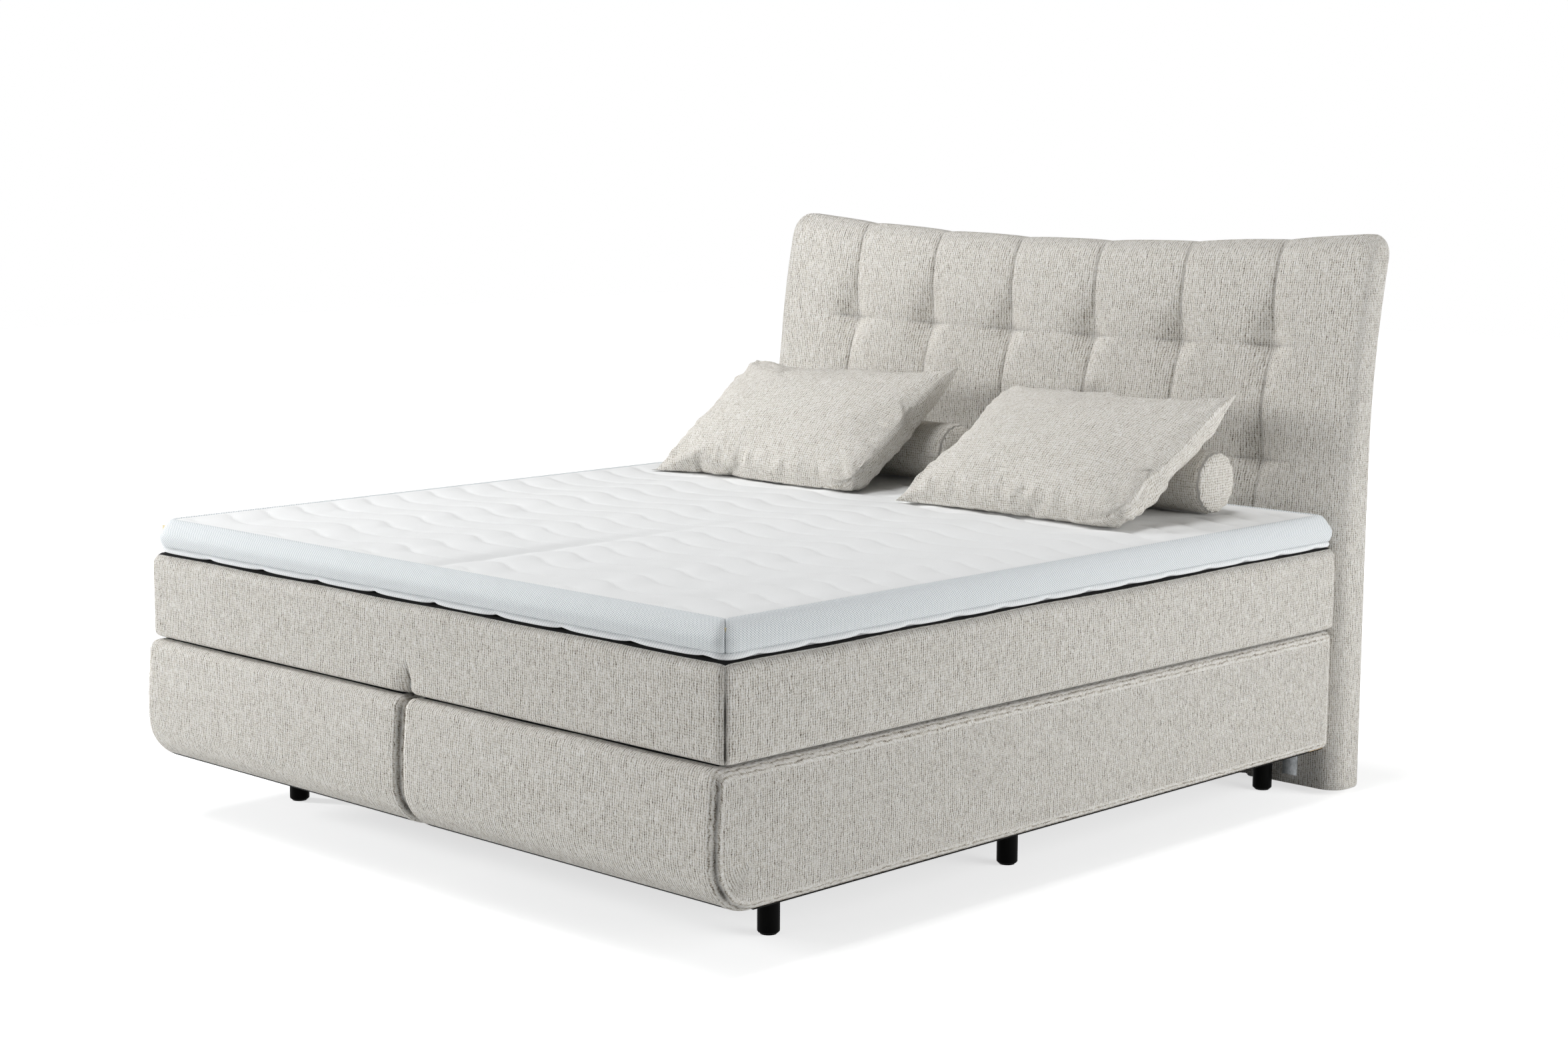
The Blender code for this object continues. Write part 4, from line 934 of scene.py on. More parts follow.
@dataclass
class Headboard:
    """Tufted headboard: seven panels, two rows of tufts, a bent back and a concave top edge."""

    panels: int = 7
    lift: float = 0.010
    top: float = 1.272
    rise: float = 0.042
    crown: float = 0.009
    depth_low: float = 0.112
    depth_top: float = 0.085
    bend_start: float = 0.82
    bend_radius: float = 1.55
    edge: float = 0.050
    back_edge: float = 0.030
    hem: float = 0.010
    row_top: float = 1.037
    row_spacing: float = 0.264
    row_bow: float = 0.006
    dome: float = 0.008
    seam_dip: float = 0.006
    seam_gain: float = 0.019
    seam_reach: float = 0.040
    row_dip: float = 0.009
    row_reach: float = 0.014
    tuft_dip: float = 0.027
    tuft_reach: float = 0.036
    stitch_dip: float = 0.0025
    stitch_width: float = 0.004
    gather_reach: float = 0.095
    free_rows: float = 0.75
    crease_span: float = 0.050
    crease_least: float = 0.10
    above_share: float = 0.6
    button_dip: float = 0.008
    button_reach: float = 0.012
    pleat: float = 0.0012
    pleat_place: float = 0.030
    pleat_reach: float = 0.022
    lumps: float = 0.0016
    pad: float = 0.042

    def bend(self, level: Array) -> Array:
        """Backward bend of the board, R - sqrt(R^2 - (z - z0)^2) above z0."""
        over = np.maximum(0.0, level - self.bend_start)
        return self.bend_radius - np.sqrt(self.bend_radius**2 - over**2)

    def depth(self, level: Array) -> Array:
        """Thickness at a level, eased from the lower to the upper one."""
        return self.depth_low - (self.depth_low - self.depth_top) * ease((level - 0.60) / 0.40)

    def dips(self, x: Array, level: Array, half: float) -> tuple[Array, Array, Array]:
        """Depth of seams, rows and tufts below the crown of the padding.

        Args:
            x: position across.
            level: height before the concave rise.
            half: half of the width.

        Returns:
            The dip, the seam distance as a share of half a panel, and the closeness to a crease.
        """
        panel = 2 * half / self.panels
        column = x / panel + self.panels / 2
        nearest = np.clip(np.round(column), 1, self.panels - 1)
        across = np.clip(np.abs(column - nearest) * 2, 0.0, 1.0)
        bow = self.row_bow * np.sin(math.pi * np.clip(np.abs(column - nearest), 0.0, 1.0))
        place = (level - bow - self.row_top) / self.row_spacing
        row = np.clip(np.round(place), -1, 0)
        along = np.clip(np.abs(place - row) * 2, 0.0, 1.0)
        gap_x = np.abs(column - nearest) * panel
        gap_z = np.abs(place - row) * self.row_spacing
        radius = np.hypot(gap_x, gap_z)
        outer = np.clip((np.abs(x) - (half - panel)) / panel, 0.0, 1.0)
        hold = 1.0 - self.free_rows * ease(outer * 1.4 - 0.2)
        strength = self.seam_dip + self.seam_gain * bump_at(gap_z, self.gather_reach)
        seam = strength * np.exp(-gap_x / self.seam_reach) + self.dome * (1.0 - full(across))
        near = self.crease_least + (1.0 - self.crease_least) * bump_at(gap_x, self.crease_span)
        crease = self.row_dip * np.exp(-gap_z / self.row_reach) * hold * near
        crease = crease + 0.4 * self.dome * (1.0 - full(along)) * hold
        above = np.where(place > row, self.above_share, 1.0)
        oval = np.hypot(gap_x, gap_z * above)
        pull = self.tuft_dip * bump_at(oval, self.tuft_reach)
        pull = pull + self.button_dip * bump_at(radius, self.button_reach)
        pleat = np.sin(np.arctan2(place - row, (column - nearest) + 1e-9) * 6.0 + nearest)
        wrinkle = self.pleat * pleat * bump_at(radius - self.pleat_place, self.pleat_reach)
        stitch = self.stitch_dip * bump_at(gap_x, self.stitch_width)
        stitch = stitch + 0.8 * self.stitch_dip * bump_at(gap_z, self.stitch_width) * hold * near
        soft = self.lumps * swell(x, level, 0.16, 21)
        rows = bump_at(gap_z, self.stitch_width) * hold * near
        close = np.maximum(0.5 * bump_at(gap_x, 0.005), rows)
        close = np.maximum(close, bump_at(radius, 0.016))
        total = seam + crease + pull + wrinkle + stitch
        return self.pad * np.tanh(total / self.pad) + soft, across, close

    def shape(self, skin: Skin, half: float, front: float) -> tuple[Array, Array]:
        """Round the slab, thin and bend it, and press in the tufting.

        Args:
            skin: the slab on its grid lines, with y from 0 in front to the lower depth behind.
            half: half of the width.
            front: y of the front face.

        Returns:
            The points and how deep each lies in a crease.
        """
        low = np.array([-half, 0.0, self.lift])
        high = np.array([half, self.depth_low, self.top])
        below = np.array([self.edge, self.edge, 0.001])
        above = np.array([self.edge, self.back_edge, self.edge])
        x, y, level = round_box(skin.points, low, high, below, above).T
        over = np.clip((self.lift + self.hem - level) / self.hem, 0.0, 1.0)
        hem = self.hem * (1.0 - np.sqrt(1.0 - over**2))
        x = x * (1.0 - hem / half)
        y = self.depth_low / 2 + (y - self.depth_low / 2) * (1.0 - 2.0 * hem / self.depth_low)
        back = y / self.depth_low
        facing = ease(1.0 - y / self.edge)
        dip, across, close = self.dips(x, level, half)
        upper = np.clip((level - self.row_top) / (self.top - self.row_top), 0.0, 1.0)
        weight = np.maximum(0.0, level - self.row_top + self.row_spacing)
        weight = weight / (self.top - self.row_top + self.row_spacing)
        rise = self.rise * (x / half) ** 2 * weight**2
        rise = rise + self.crown * (full(across) - 0.25) * upper**6 * (1.0 - 0.55 * back)
        depth = self.depth(level)
        out = front + self.depth_low + self.bend(level) - (1.0 - back) * depth + dip * facing
        return np.stack([x, out, level + rise], 1), close * facing

    def build(self, finishes: Finishes) -> None:
        """Make the tufted upholstery and the cloth panel on the back."""
        low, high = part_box("head_cushion")
        half = high.x
        front = low.y
        panel = 2 * half / self.panels
        seams = [-half + panel * number for number in range(1, self.panels)]
        rows = (self.row_top, self.row_top - self.row_spacing)
        xs = grid_lines(-half, half, 0.0105, 0.0024, 0.011, (*seams, -half, half))
        zs = grid_lines(self.lift, self.top, 0.0125, 0.0028, 0.012, (*rows, self.lift, self.top))
        ys = grid_lines(0.0, self.depth_low, 0.011, 0.006, 0.02, (0.0, self.depth_low))
        skin = Skin.of(xs, ys, zs)
        points, close = self.shape(skin, half, front)
        piece = make_piece("headboard_upholstery", points, skin.quads, skin.uv, [finishes.upholstery])
        # Painted shade along the seams, the stitched rows and in the tufts.
        paint_seam_shade(piece, close * 0.35)
        seat(piece, "bed_base", "upholstery", "head_cushion", fill=0.8)
        self.back_panel(finishes)

    def back_panel(self, finishes: Finishes, thick: float = 0.009, sunk: float = 0.0065) -> None:
        """Cloth-covered panel that closes the back, a slab bent with the board and eased all round.

        Args:
            finishes: the bed's materials.
            thick: thickness of the slab.
            sunk: how far its front lies inside the cushion's back.
        """
        low, high = box_of("head_lining")
        behind = high[1] - float(self.bend(np.array(high[2])))
        xs = lines_of(low, high, 0, 0.03, 0.004, 0.012)
        zs = lines_of(low, high, 2, 0.03, 0.004, 0.012)
        ys = np.linspace(0.0, thick, 5)
        skin = Skin.of(xs, ys, zs)
        base = np.array([low[0], 0.0, low[2]])
        top = np.array([high[0], thick, high[2]])
        soft = np.array([0.006, 0.003, 0.006])
        x, y, level = round_box(skin.points, base, top, soft, soft).T
        puff = 0.0012 * swell(x, level, 0.4, 31) * (y / thick)
        place = behind - sunk + y + self.bend(level) + puff
        points = np.stack([x, place, level], 1)
        piece = make_piece("headboard_back_panel", points, skin.quads, skin.uv, [finishes.upholstery])
        paint_seam_shade(piece, np.zeros(len(points)))
        seat(piece, "bed_base", "upholstery", "head_lining")


# Mattress


@dataclass
class Mattress:
    """Upholstered mattress: soft border, seamed corners and a tuck in the middle of the foot."""

    corner: float = 0.027
    top_edge: float = 0.026
    bottom_edge: float = 0.014
    belly: float = 0.0035
    seam_depth: float = 0.008
    tuck_depth: float = 0.013
    tuck_width: float = 0.020
    dark_inset: float = 0.010
    seam_share: float = 0.17
    slit_depth: float = 0.010
    slit_width: float = 0.0045
    slant: float = 0.012
    top_lumps: float = 0.0025

    def shape(self, skin: Skin, low: Array, high: Array) -> tuple[Array, Array]:
        """Round the block, swell its border and press in corner seams and tuck.

        Args:
            skin: the block on its grid lines.
            low: lowest corner.
            high: highest corner.

        Returns:
            The points and how deep each lies in a seam.
        """
        flat = np.array([self.corner, self.corner, self.bottom_edge])
        round_top = np.array([self.corner, self.corner, self.top_edge])
        start = skin.points
        points = round_box(start, low, high, flat, round_top)
        x, y, z = points.T
        level = (z - low[2]) / (high[2] - low[2])
        out_x = np.clip((np.abs(start[:, 0]) - high[0] + self.corner) / self.corner, 0.0, 1.0)
        fore = np.clip((low[1] + self.corner - start[:, 1]) / self.corner, 0.0, 1.0)
        rear = np.clip((start[:, 1] - high[1] + self.corner) / self.corner, 0.0, 1.0)
        out_y = np.maximum(fore, rear)
        belly = np.sin(math.pi * np.clip(level, 0.0, 1.0)) ** 0.7
        on_side = (out_x >= 1.0) & (out_y < 1.0)
        on_end = (out_y >= 1.0) & (out_x < 1.0)
        sign_x = np.sign(x)
        sign_y = np.where(fore > 0, -1.0, 1.0)
        lively = 0.75 + 0.35 * swell(x + y, z, 0.45, 41)
        x = x + sign_x * on_side * belly * self.belly * lively * (1 - out_y)
        y = y + sign_y * on_end * belly * self.belly * lively * (1 - out_x)
        seam = bump_at(out_x - out_y, self.seam_share) * (out_x > 0.3) * (out_y > 0.3)
        seam = seam * ease(level / 0.10) * ease((0.99 - level) / 0.10)
        pinch = seam * (0.35 + 0.65 * ease((0.80 - level) / 0.25)) * (0.8 + 0.2 * swell(z, y, 0.05, 43))
        x = x - sign_x * pinch * self.seam_depth
        y = y - sign_y * pinch * self.seam_depth
        fade = ease((0.40 - level) / 0.30) * (fore > 0)
        lean = x + self.slant / 2 - self.slant * level
        tuck = bump_at(lean, self.tuck_width) * fade
        slit = bump_at(lean, self.slit_width) * fade
        y = y + self.tuck_depth * tuck * fore + self.slit_depth * slit * fore
        lumps = ease((level - 0.7) / 0.3) * (0.3 + 0.7 * np.maximum(out_x, out_y))
        z = z + self.top_lumps * swell(x, y, 0.35, 47) * lumps
        return np.stack([x, y, z], 1), np.maximum(pinch * 0.8, slit * fore)

    def build(self, finishes: Finishes) -> None:
        """Make the mattress: black anti-slip spunbond underneath and black spunbond on top under the topper;
        the black reaches onto both rounded edges, where it paints the shade lines under the topper and above
        the boxes.
        """
        low, high = box_of("mattress_cover")
        xs = grid_lines(low[0], high[0], 0.022, 0.0032, 0.020, (low[0], high[0], 0.0))
        ys = lines_of(low, high, 1, 0.022, 0.0032, 0.020)
        zs = lines_of(low, high, 2, 0.011, 0.0035, 0.018)
        skin = Skin.of(xs, ys, zs)
        points, seam = self.shape(skin, low, high)
        # Painted shade: the black faces start on the rounded edges, so the black top paints the shade line
        # under the topper and the black underside the shade line above the boxes.
        which = skin.dark_faces(low, high, self.dark_inset)
        cloths = [finishes.upholstery, finishes.felt]
        piece = make_piece("mattress_upholstery", points, skin.quads, skin.uv, cloths, which)
        # Painted shade in the corner seams and in the slit of the tuck.
        paint_seam_shade(piece, seam)
        seat(piece, "mattress", "upholstery", "mattress_cover", "mattress_underside", fill=0.8)


# Topper


@dataclass
class Topper:
    """Quilted topper: waved quilting on top, spacer mesh border and a twill underside."""

    corner: float = 0.055
    near_corner: float = 0.035
    edge: float = 0.046
    seam_inset: float = 0.036
    seam_drop: float = 0.003
    row_spacing: float = 0.0975
    row_start: float = 0.074
    wave_length: float = 0.319
    wave_crest: float = -0.555
    wave_height: float = 0.027
    quilt_dip: float = 0.0040
    stitch_dip: float = 0.0016
    stitch_width: float = 0.004
    foot_gap: float = 0.028
    fold_place: float = 0.030
    fold_width: float = 0.022
    fold_dip: float = 0.006
    mitre_width: float = 0.004
    mitre_dip: float = 0.005
    mitre_drop: float = 0.004
    border_puff: float = 0.0040
    side_pads: float = 0.142
    foot_pads: float = 0.197
    pad_bulge: float = 0.011
    pad_lift: float = 0.008

    def corners(self) -> dict[tuple[int, int], float]:
        """Radius of each corner, smaller on the right side."""
        return {(a, b): self.near_corner if a > 0 else self.corner for b in (-1, 1) for a in (-1, 1)}

    def quilt(self, x: Array, depth: Array, half_x: float, half_y: float) -> tuple[Array, Array]:
        """Height of the quilted top below its crown.

        The stitched rows are y = y0 + n s + A cos(2 pi (x - x0) / L), and between two rows the cloth
        stands up as a round pad.

        Args:
            x: position across.
            depth: position from the foot face.
            half_x: half of the width.
            half_y: half of the length.

        Returns:
            The dip and the closeness to a stitched line.
        """
        phase = (x - self.wave_crest) * math.tau / self.wave_length
        bent = phase + 0.25 * np.sin(phase)
        row = (depth - self.row_start - self.wave_height * np.cos(bent)) / self.row_spacing
        slope = self.wave_height * np.sin(bent) * math.tau / self.wave_length
        away = np.abs(row - np.round(row)) * 2 / np.sqrt(1.0 + slope**2)
        rim = np.minimum(half_x - np.abs(x), half_y - np.abs(depth - self.foot_gap - half_y))
        rim = rim - self.seam_inset
        inside = ease(rim / 0.03)
        dip = self.quilt_dip * (1.0 - full(away)) * inside
        stitched = bump_at(away * self.row_spacing / 2, self.stitch_width) * inside
        dip = dip + self.stitch_dip * stitched
        dip = dip + self.seam_drop * (1.0 - full(np.clip(rim / 0.05, 0.0, 1.0)))
        fold = self.fold_dip * bump_at(x - self.fold_place, self.fold_width) * ease(1.15 - depth / 1.1)
        dip = dip + fold * inside + 0.0012 * swell(x, depth, 0.12, 61) * inside
        return dip, np.maximum(stitched, 0.6 * bump_at(rim, 0.003))

    def build(self, finishes: Finishes) -> None:
        """Make the cover with its border, and the quilted underside."""
        low, high = box_of("topper_cover")
        centre = (low + high) / 2
        half = (high - low) / 2
        xs = lines_of(low, high, 0, 0.0085, 0.003, 0.012)
        ys = lines_of(low, high, 1, 0.0070, 0.003, 0.012)
        zs = lines_of(low, high, 2, 0.006, 0.004, 0.01)
        skin = Skin.of(xs, ys, zs)
        x, y, z = skin.points.T
        over = np.clip((z - high[2] + self.edge) / self.edge, 0.0, 1.0)
        turn = over * math.pi / 2
        inset = self.seam_inset * (1.0 - np.cos(turn))
        x, y = round_pair(x, y, low[:2], high[:2], self.corners(), inset)
        top = over >= 1.0
        z = np.where(over > 0, high[2] - self.edge + self.edge * np.sin(turn), z)
        dip, close = self.quilt(x, y - FOOT, half[0], half[1])
        z = z - dip * top - self.seam_drop * ease(turn - 0.57)
        apart = (half[0] - np.abs(skin.points[:, 0] - centre[0])) - (
            half[1] - np.abs(skin.points[:, 1] - centre[1])
        )
        mitre = bump_at(apart, self.mitre_width) * ~top
        x = x - np.sign(x - centre[0]) * mitre * self.mitre_dip * np.cos(turn)
        y = y - np.sign(y - centre[1]) * mitre * self.mitre_dip * np.cos(turn)
        z = z - mitre * self.mitre_drop * np.sin(turn)
        upright = skin.side < 4
        skin.uv[upright, :, 1] += 0.4 * np.maximum(0.0, skin.uv[upright, :, 1] - high[2] + self.edge)
        level = (z - low[2]) / (high[2] - low[2])
        puff = self.border_puff * (np.sin(math.pi * np.clip(level * 1.6, 0, 1)) - 0.5) * (over < 0.6)
        spread = 1.0 + puff / half[0]
        x = centre[0] + (x - centre[0]) * spread
        y = centre[1] + (y - centre[1]) * spread
        which = np.where(skin.side == 5, 0, 1)
        points = np.stack([x, y, z], 1)
        piece = make_piece(
            "topper_quilt_and_border", points, skin.quads, skin.uv, [finishes.pique, finishes.mesh], which
        )
        paint_seam_shade(piece, np.maximum(close * 0.3 * top, mitre))
        seat(piece, "topper", "topper_cloth", "topper_cover", fill=0.7)
        self.underside(finishes)

    def underside(self, finishes: Finishes) -> None:
        """Quilted underside: its rim swells between stitch lines 0.2 m and 0.14 m apart."""
        low, high = box_of("topper_underside")
        xs = lines_of(low, high, 0, 0.014, 0.003, 0.012)
        ys = lines_of(low, high, 1, 0.014, 0.003, 0.012)
        zs = np.linspace(low[2], high[2], 8)
        skin = Skin.of(xs, ys, zs)
        start = skin.points
        x, y, z = start.T
        level = (z - low[2]) / (high[2] - low[2])
        rim_x = np.clip((np.abs(start[:, 0]) - high[0] + 0.03) / 0.03, 0.0, 1.0)
        pads = np.where(
            rim_x < 1.0,
            full(np.abs(np.sin(math.pi * (start[:, 0] + 0.12) / self.foot_pads))),
            full(np.abs(np.sin(math.pi * (start[:, 1] - FOOT + 0.03) / self.side_pads))),
        )
        bulge = 0.35 + 0.65 * pads
        inset = self.pad_bulge * (1.0 - np.sqrt(np.clip(1.0 - (2 * level - 1.0) ** 2, 0.0, 1.0)) * bulge)
        x, y = round_pair(x, y, low[:2], high[:2], self.corners(), inset)
        span = rim_gap(start, low, high)
        z = z + (1.0 - pads) * self.pad_lift * (level < 0.5) * (1.0 - level * 2) * bump_at(span, 0.03)
        points = np.stack([x, y, z], 1)
        piece = make_piece("topper_quilted_underside", points, skin.quads, skin.uv, [finishes.twill])
        paint_seam_shade(piece, 0.5 * (1.0 - pads))
        seat(piece, "topper", "topper_cloth", "topper_underside", fill=0.5)


# Cushions


def inflate(piece: bpy.types.Object, pressure: float, stiffness: float, bending: float, frames: int) -> Array:
    """Blow up a closed cloth shell without gravity and return where its points end.

    Args:
        piece: the flat shell.
        pressure: cloth pressure.
        stiffness: resistance to stretch.
        bending: resistance to folding.
        frames: last frame of the run.

    Returns:
        The positions after the last frame.
    """
    cloth = piece.modifiers.new("inflate", "CLOTH")
    settings = cloth.settings
    settings.quality = 7
    settings.mass = 0.25
    settings.tension_stiffness = stiffness
    settings.compression_stiffness = stiffness
    settings.shear_stiffness = stiffness * 0.5
    settings.bending_stiffness = bending
    settings.air_damping = 1.0
    settings.use_pressure = True
    settings.uniform_pressure_force = pressure
    settings.effector_weights.gravity = 0.0
    cloth.collision_settings.use_collision = False
    cloth.point_cache.frame_start = 1
    cloth.point_cache.frame_end = frames
    scene = bpy.context.scene
    for number in range(1, frames + 1):
        scene.frame_set(number)
    graph = bpy.context.evaluated_depsgraph_get()
    mesh = piece.evaluated_get(graph).data
    points = np.empty(len(mesh.vertices) * 3, np.float32)
    mesh.vertices.foreach_get("co", points)
    piece.modifiers.remove(cloth)
    scene.frame_set(1)
    return points.reshape(-1, 3).astype(float)


@dataclass
class Pillow:
    """Stuffed cushion of a 50 by 70 cm case: an envelope of two flat sheets blown up as cloth."""

    side: str
    tilt: float
    yaw: float
    cut_width: float = 0.725
    cut_height: float = 0.500
    bow: float = 0.022
    step: float = 0.007
    seam: float = 0.004
    half_thick: float = 0.094
    drawn: float = 0.045
    evenness: float = 0.45
    bluntness: float = 0.5
    ear: float = 0.010
    pucker: float = 0.0045
    pucker_place: float = 0.035
    pucker_reach: float = 0.022
    pucker_length: float = 0.034
    fold: float = 0.006
    fold_place: float = 0.075
    fold_reach: float = 0.032
    rounded: float = 0.030
    seam_shift: float = 0.034
    clearance: float = 0.0008
    roll_gap: float = 0.001
    give_way: float = 0.35
    sink: float = 0.007
    width: float = 0.684
    height: float = 0.460

    def envelope(self) -> Skin:
        """Two flat sheets a seam apart on one grid, with a slightly fuller middle."""
        half_x, half_y = self.cut_width / 2, self.cut_height / 2
        xs = np.linspace(-half_x, half_x, int(self.cut_width / self.step) + 1)
        ys = np.linspace(-half_y, half_y, int(self.cut_height / self.step) + 1)
        skin = Skin.of(xs, ys, np.array([-self.seam / 2, self.seam / 2]))
        x, y, z = skin.points.T
        middle = (1.0 - (x / half_x) ** 2) * (1.0 - (y / half_y) ** 2)
        bow_x, bow_y = self.bow * (1.0 - (y / half_y) ** 2), self.bow * (1.0 - (x / half_x) ** 2)
        x, y = x * (1.0 + bow_x / half_x), y * (1.0 + bow_y / half_y)
        z = z * (1.0 + 6.0 * middle)
        z = z + 0.0015 * swell(x, y, 0.05, 71 if self.side == "left" else 72) * middle
        skin.points = np.stack([x, y, z], 1)
        skin.uv = skin.uv + (0.0 if self.side == "left" else 0.37)
        return skin

    def build(self, finishes: Finishes) -> None:
        """Blow up the envelope, fit it to the CAD cushion's size and set it down."""
        node = f"pillow_{self.side}"
        low, high = box_of(node)
        skin = self.envelope()
        piece = make_piece(f"{node}_cushion", skin.points, skin.quads, skin.uv, [finishes.cushion])
        points = skin.points
        flat = points / np.array([self.cut_width / 2, self.cut_height / 2, self.seam / 2])
        points = inflate(piece, pressure=4.0, stiffness=60.0, bending=0.6, frames=28)
        points = self.settle(self.fit(points, flat), low, high)
        piece.data.vertices.foreach_set("co", points.reshape(-1).astype(np.float32))
        piece.data.update()
        paint_seam_shade(piece, np.zeros(len(points)))
        seat(piece, node, "cushion_cloth", node, fill=0.75)

    def plumped(self, flat: Array) -> Array:
        """Evenly stuffed cushion: x = W/2 sin a, y = H/2 sin b, z = T (cos a cos b)^bluntness.

        The angles a and b share out the cut by arc length, so that the weave isn't stretched at the
        sides, and the filling draws the middle of each side in.

        Args:
            flat: the envelope's points as shares of its half sizes.

        Returns:
            The points of the stuffed form.
        """
        angle = np.linspace(0.0, math.pi / 2, 400)
        thick = self.half_thick * np.maximum(0.0, np.cos(angle)) ** self.bluntness
        turned = []
        for axis, half in ((0, self.width / 2), (1, self.height / 2)):
            pace = np.hypot(np.diff(half * np.sin(angle)), np.diff(thick))
            run = np.concatenate([[0.0], np.cumsum(pace)])
            share = np.clip(np.abs(flat[:, axis]) / np.abs(flat[:, axis]).max(), 0.0, 1.0)
            turned.append(np.sign(flat[:, axis]) * np.interp(share, run / run[-1], angle))
        a, b = turned
        x = self.width / 2 * np.sin(a) * (1.0 - self.drawn * np.cos(b) ** 2)
        y = self.height / 2 * np.sin(b) * (1.0 - self.drawn * 1.4 * np.cos(a) ** 2)
        high = np.maximum(0.0, np.cos(a) * np.cos(b)) ** self.bluntness
        return np.stack([x, y, np.sign(flat[:, 2]) * (self.seam / 2 + self.half_thick * high)], 1)

    def puckers(self, points: Array, share: Array) -> Array:
        """Small puckers: irregular waves along the seams, and folds that fan out from the corners.

        Args:
            points: the cushion's points, flat in x and y.
            share: their place on the envelope as shares of its half sizes.

        Returns:
            How far each point is raised.
        """
        seed = 81 if self.side == "left" else 85
        x, y, zero = points[:, 0], points[:, 1], np.zeros(len(points))
        rise = np.zeros(len(points))
        for axis, along, half in ((1, x, self.height / 2), (0, y, self.width / 2)):
            inward = half * (1.0 - np.abs(share[:, axis]))
            near = bump_at(inward - self.pucker_place, self.pucker_reach) * (1.0 - share[:, 1 - axis] ** 4)
            side = np.sign(share[:, axis]) * 0.4
            rise += self.pucker * near * swell(along + side, zero, self.pucker_length, seed + axis)
        across = self.width / 2 * (1.0 - np.abs(share[:, 0]))
        up = self.height / 2 * (1.0 - np.abs(share[:, 1]))
        reach, fan = np.hypot(across, up), np.arctan2(up, across)
        folds = self.fold * bump_at(reach - self.fold_place, self.fold_reach)
        return rise + folds * np.sin(9.0 * fan + seed) * np.sin(2.0 * fan)

    def fit(self, points: Array, flat: Array) -> Array:
        """Mix the blown-up and the evenly stuffed cushion and work over its corners and seams.

        Args:
            points: the blown-up shape, flat in x and y.
            flat: the envelope's points as shares of its half sizes.

        Returns:
            The points of the cushion about its middle.
        """
        points = points - (points.max(0) + points.min(0)) / 2
        size = points.max(0) - points.min(0)
        LOG.info("pillow_%s blown up to %s", self.side, np.round(size, 3))
        points = points * (np.array([self.width, self.height, 2 * self.half_thick]) / size)
        even = self.plumped(flat)
        points = points * (1.0 - self.evenness) + even * self.evenness
        share = flat[:, :2]
        tip = np.clip(np.abs(share[:, :1] * share[:, 1:]), 0.0, 1.0)
        tucked = ((share[:, :1] > 0) & (share[:, 1:] < 0)).astype(float)
        pull = self.ear * (1.0 - tucked) * tip**9 - self.rounded * tucked * tip**5
        points[:, :2] += pull * np.sign(share)
        edge = np.clip((share[:, 0] - 0.5) / 0.5, 0.0, 1.0) ** 2
        hollow = 1.0 - np.clip(np.abs(points[:, 2]) / self.half_thick, 0.0, 1.0)
        points[:, 2] += self.seam_shift * edge * hollow
        points[:, 2] += np.sign(flat[:, 2]) * self.puckers(points, share)
        return points

    def settle(self, points: Array, low: Array, high: Array) -> Array:
        """Turn the cushion, rest it on the topper and lean it on its bolster.

        Args:
            points: the cushion's points, flat in x and y.
            low: lowest corner of the CAD cushion.
            high: its highest corner.

        Returns:
            The points in place.
        """
        turn = np.array(
            Matrix.Rotation(math.radians(self.yaw), 3, "Z") @ Matrix.Rotation(math.radians(self.tilt), 3, "X")
        )
        points = points @ turn.T
        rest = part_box("topper_cover")[1].z + self.clearance
        points = points + (low + high) / 2 - (points.max(0) + points.min(0)) / 2
        points[:, 2] -= self.sink
        under = np.maximum(0.0, rest - points[:, 2])
        points[:, 2] += under
        points[:, 1] -= self.give_way * under * (points[:, 1] < (low[1] + high[1]) / 2)
        roll_low, roll_high = box_of(f"bolster_{self.side}")
        axis = (roll_low + roll_high) / 2
        radius = (roll_high[2] - roll_low[2]) / 2 + self.roll_gap
        away = points[:, 1:] - axis[1:]
        length = np.linalg.norm(away, axis=1)
        close = (length < radius) & (np.abs(points[:, 0] - axis[0]) < (roll_high[0] - roll_low[0]) / 2)
        push = np.where(close, radius / np.maximum(length, 0.01), 1.0)
        points[:, 1:] = axis[1:] + away * push[:, None]
        return points


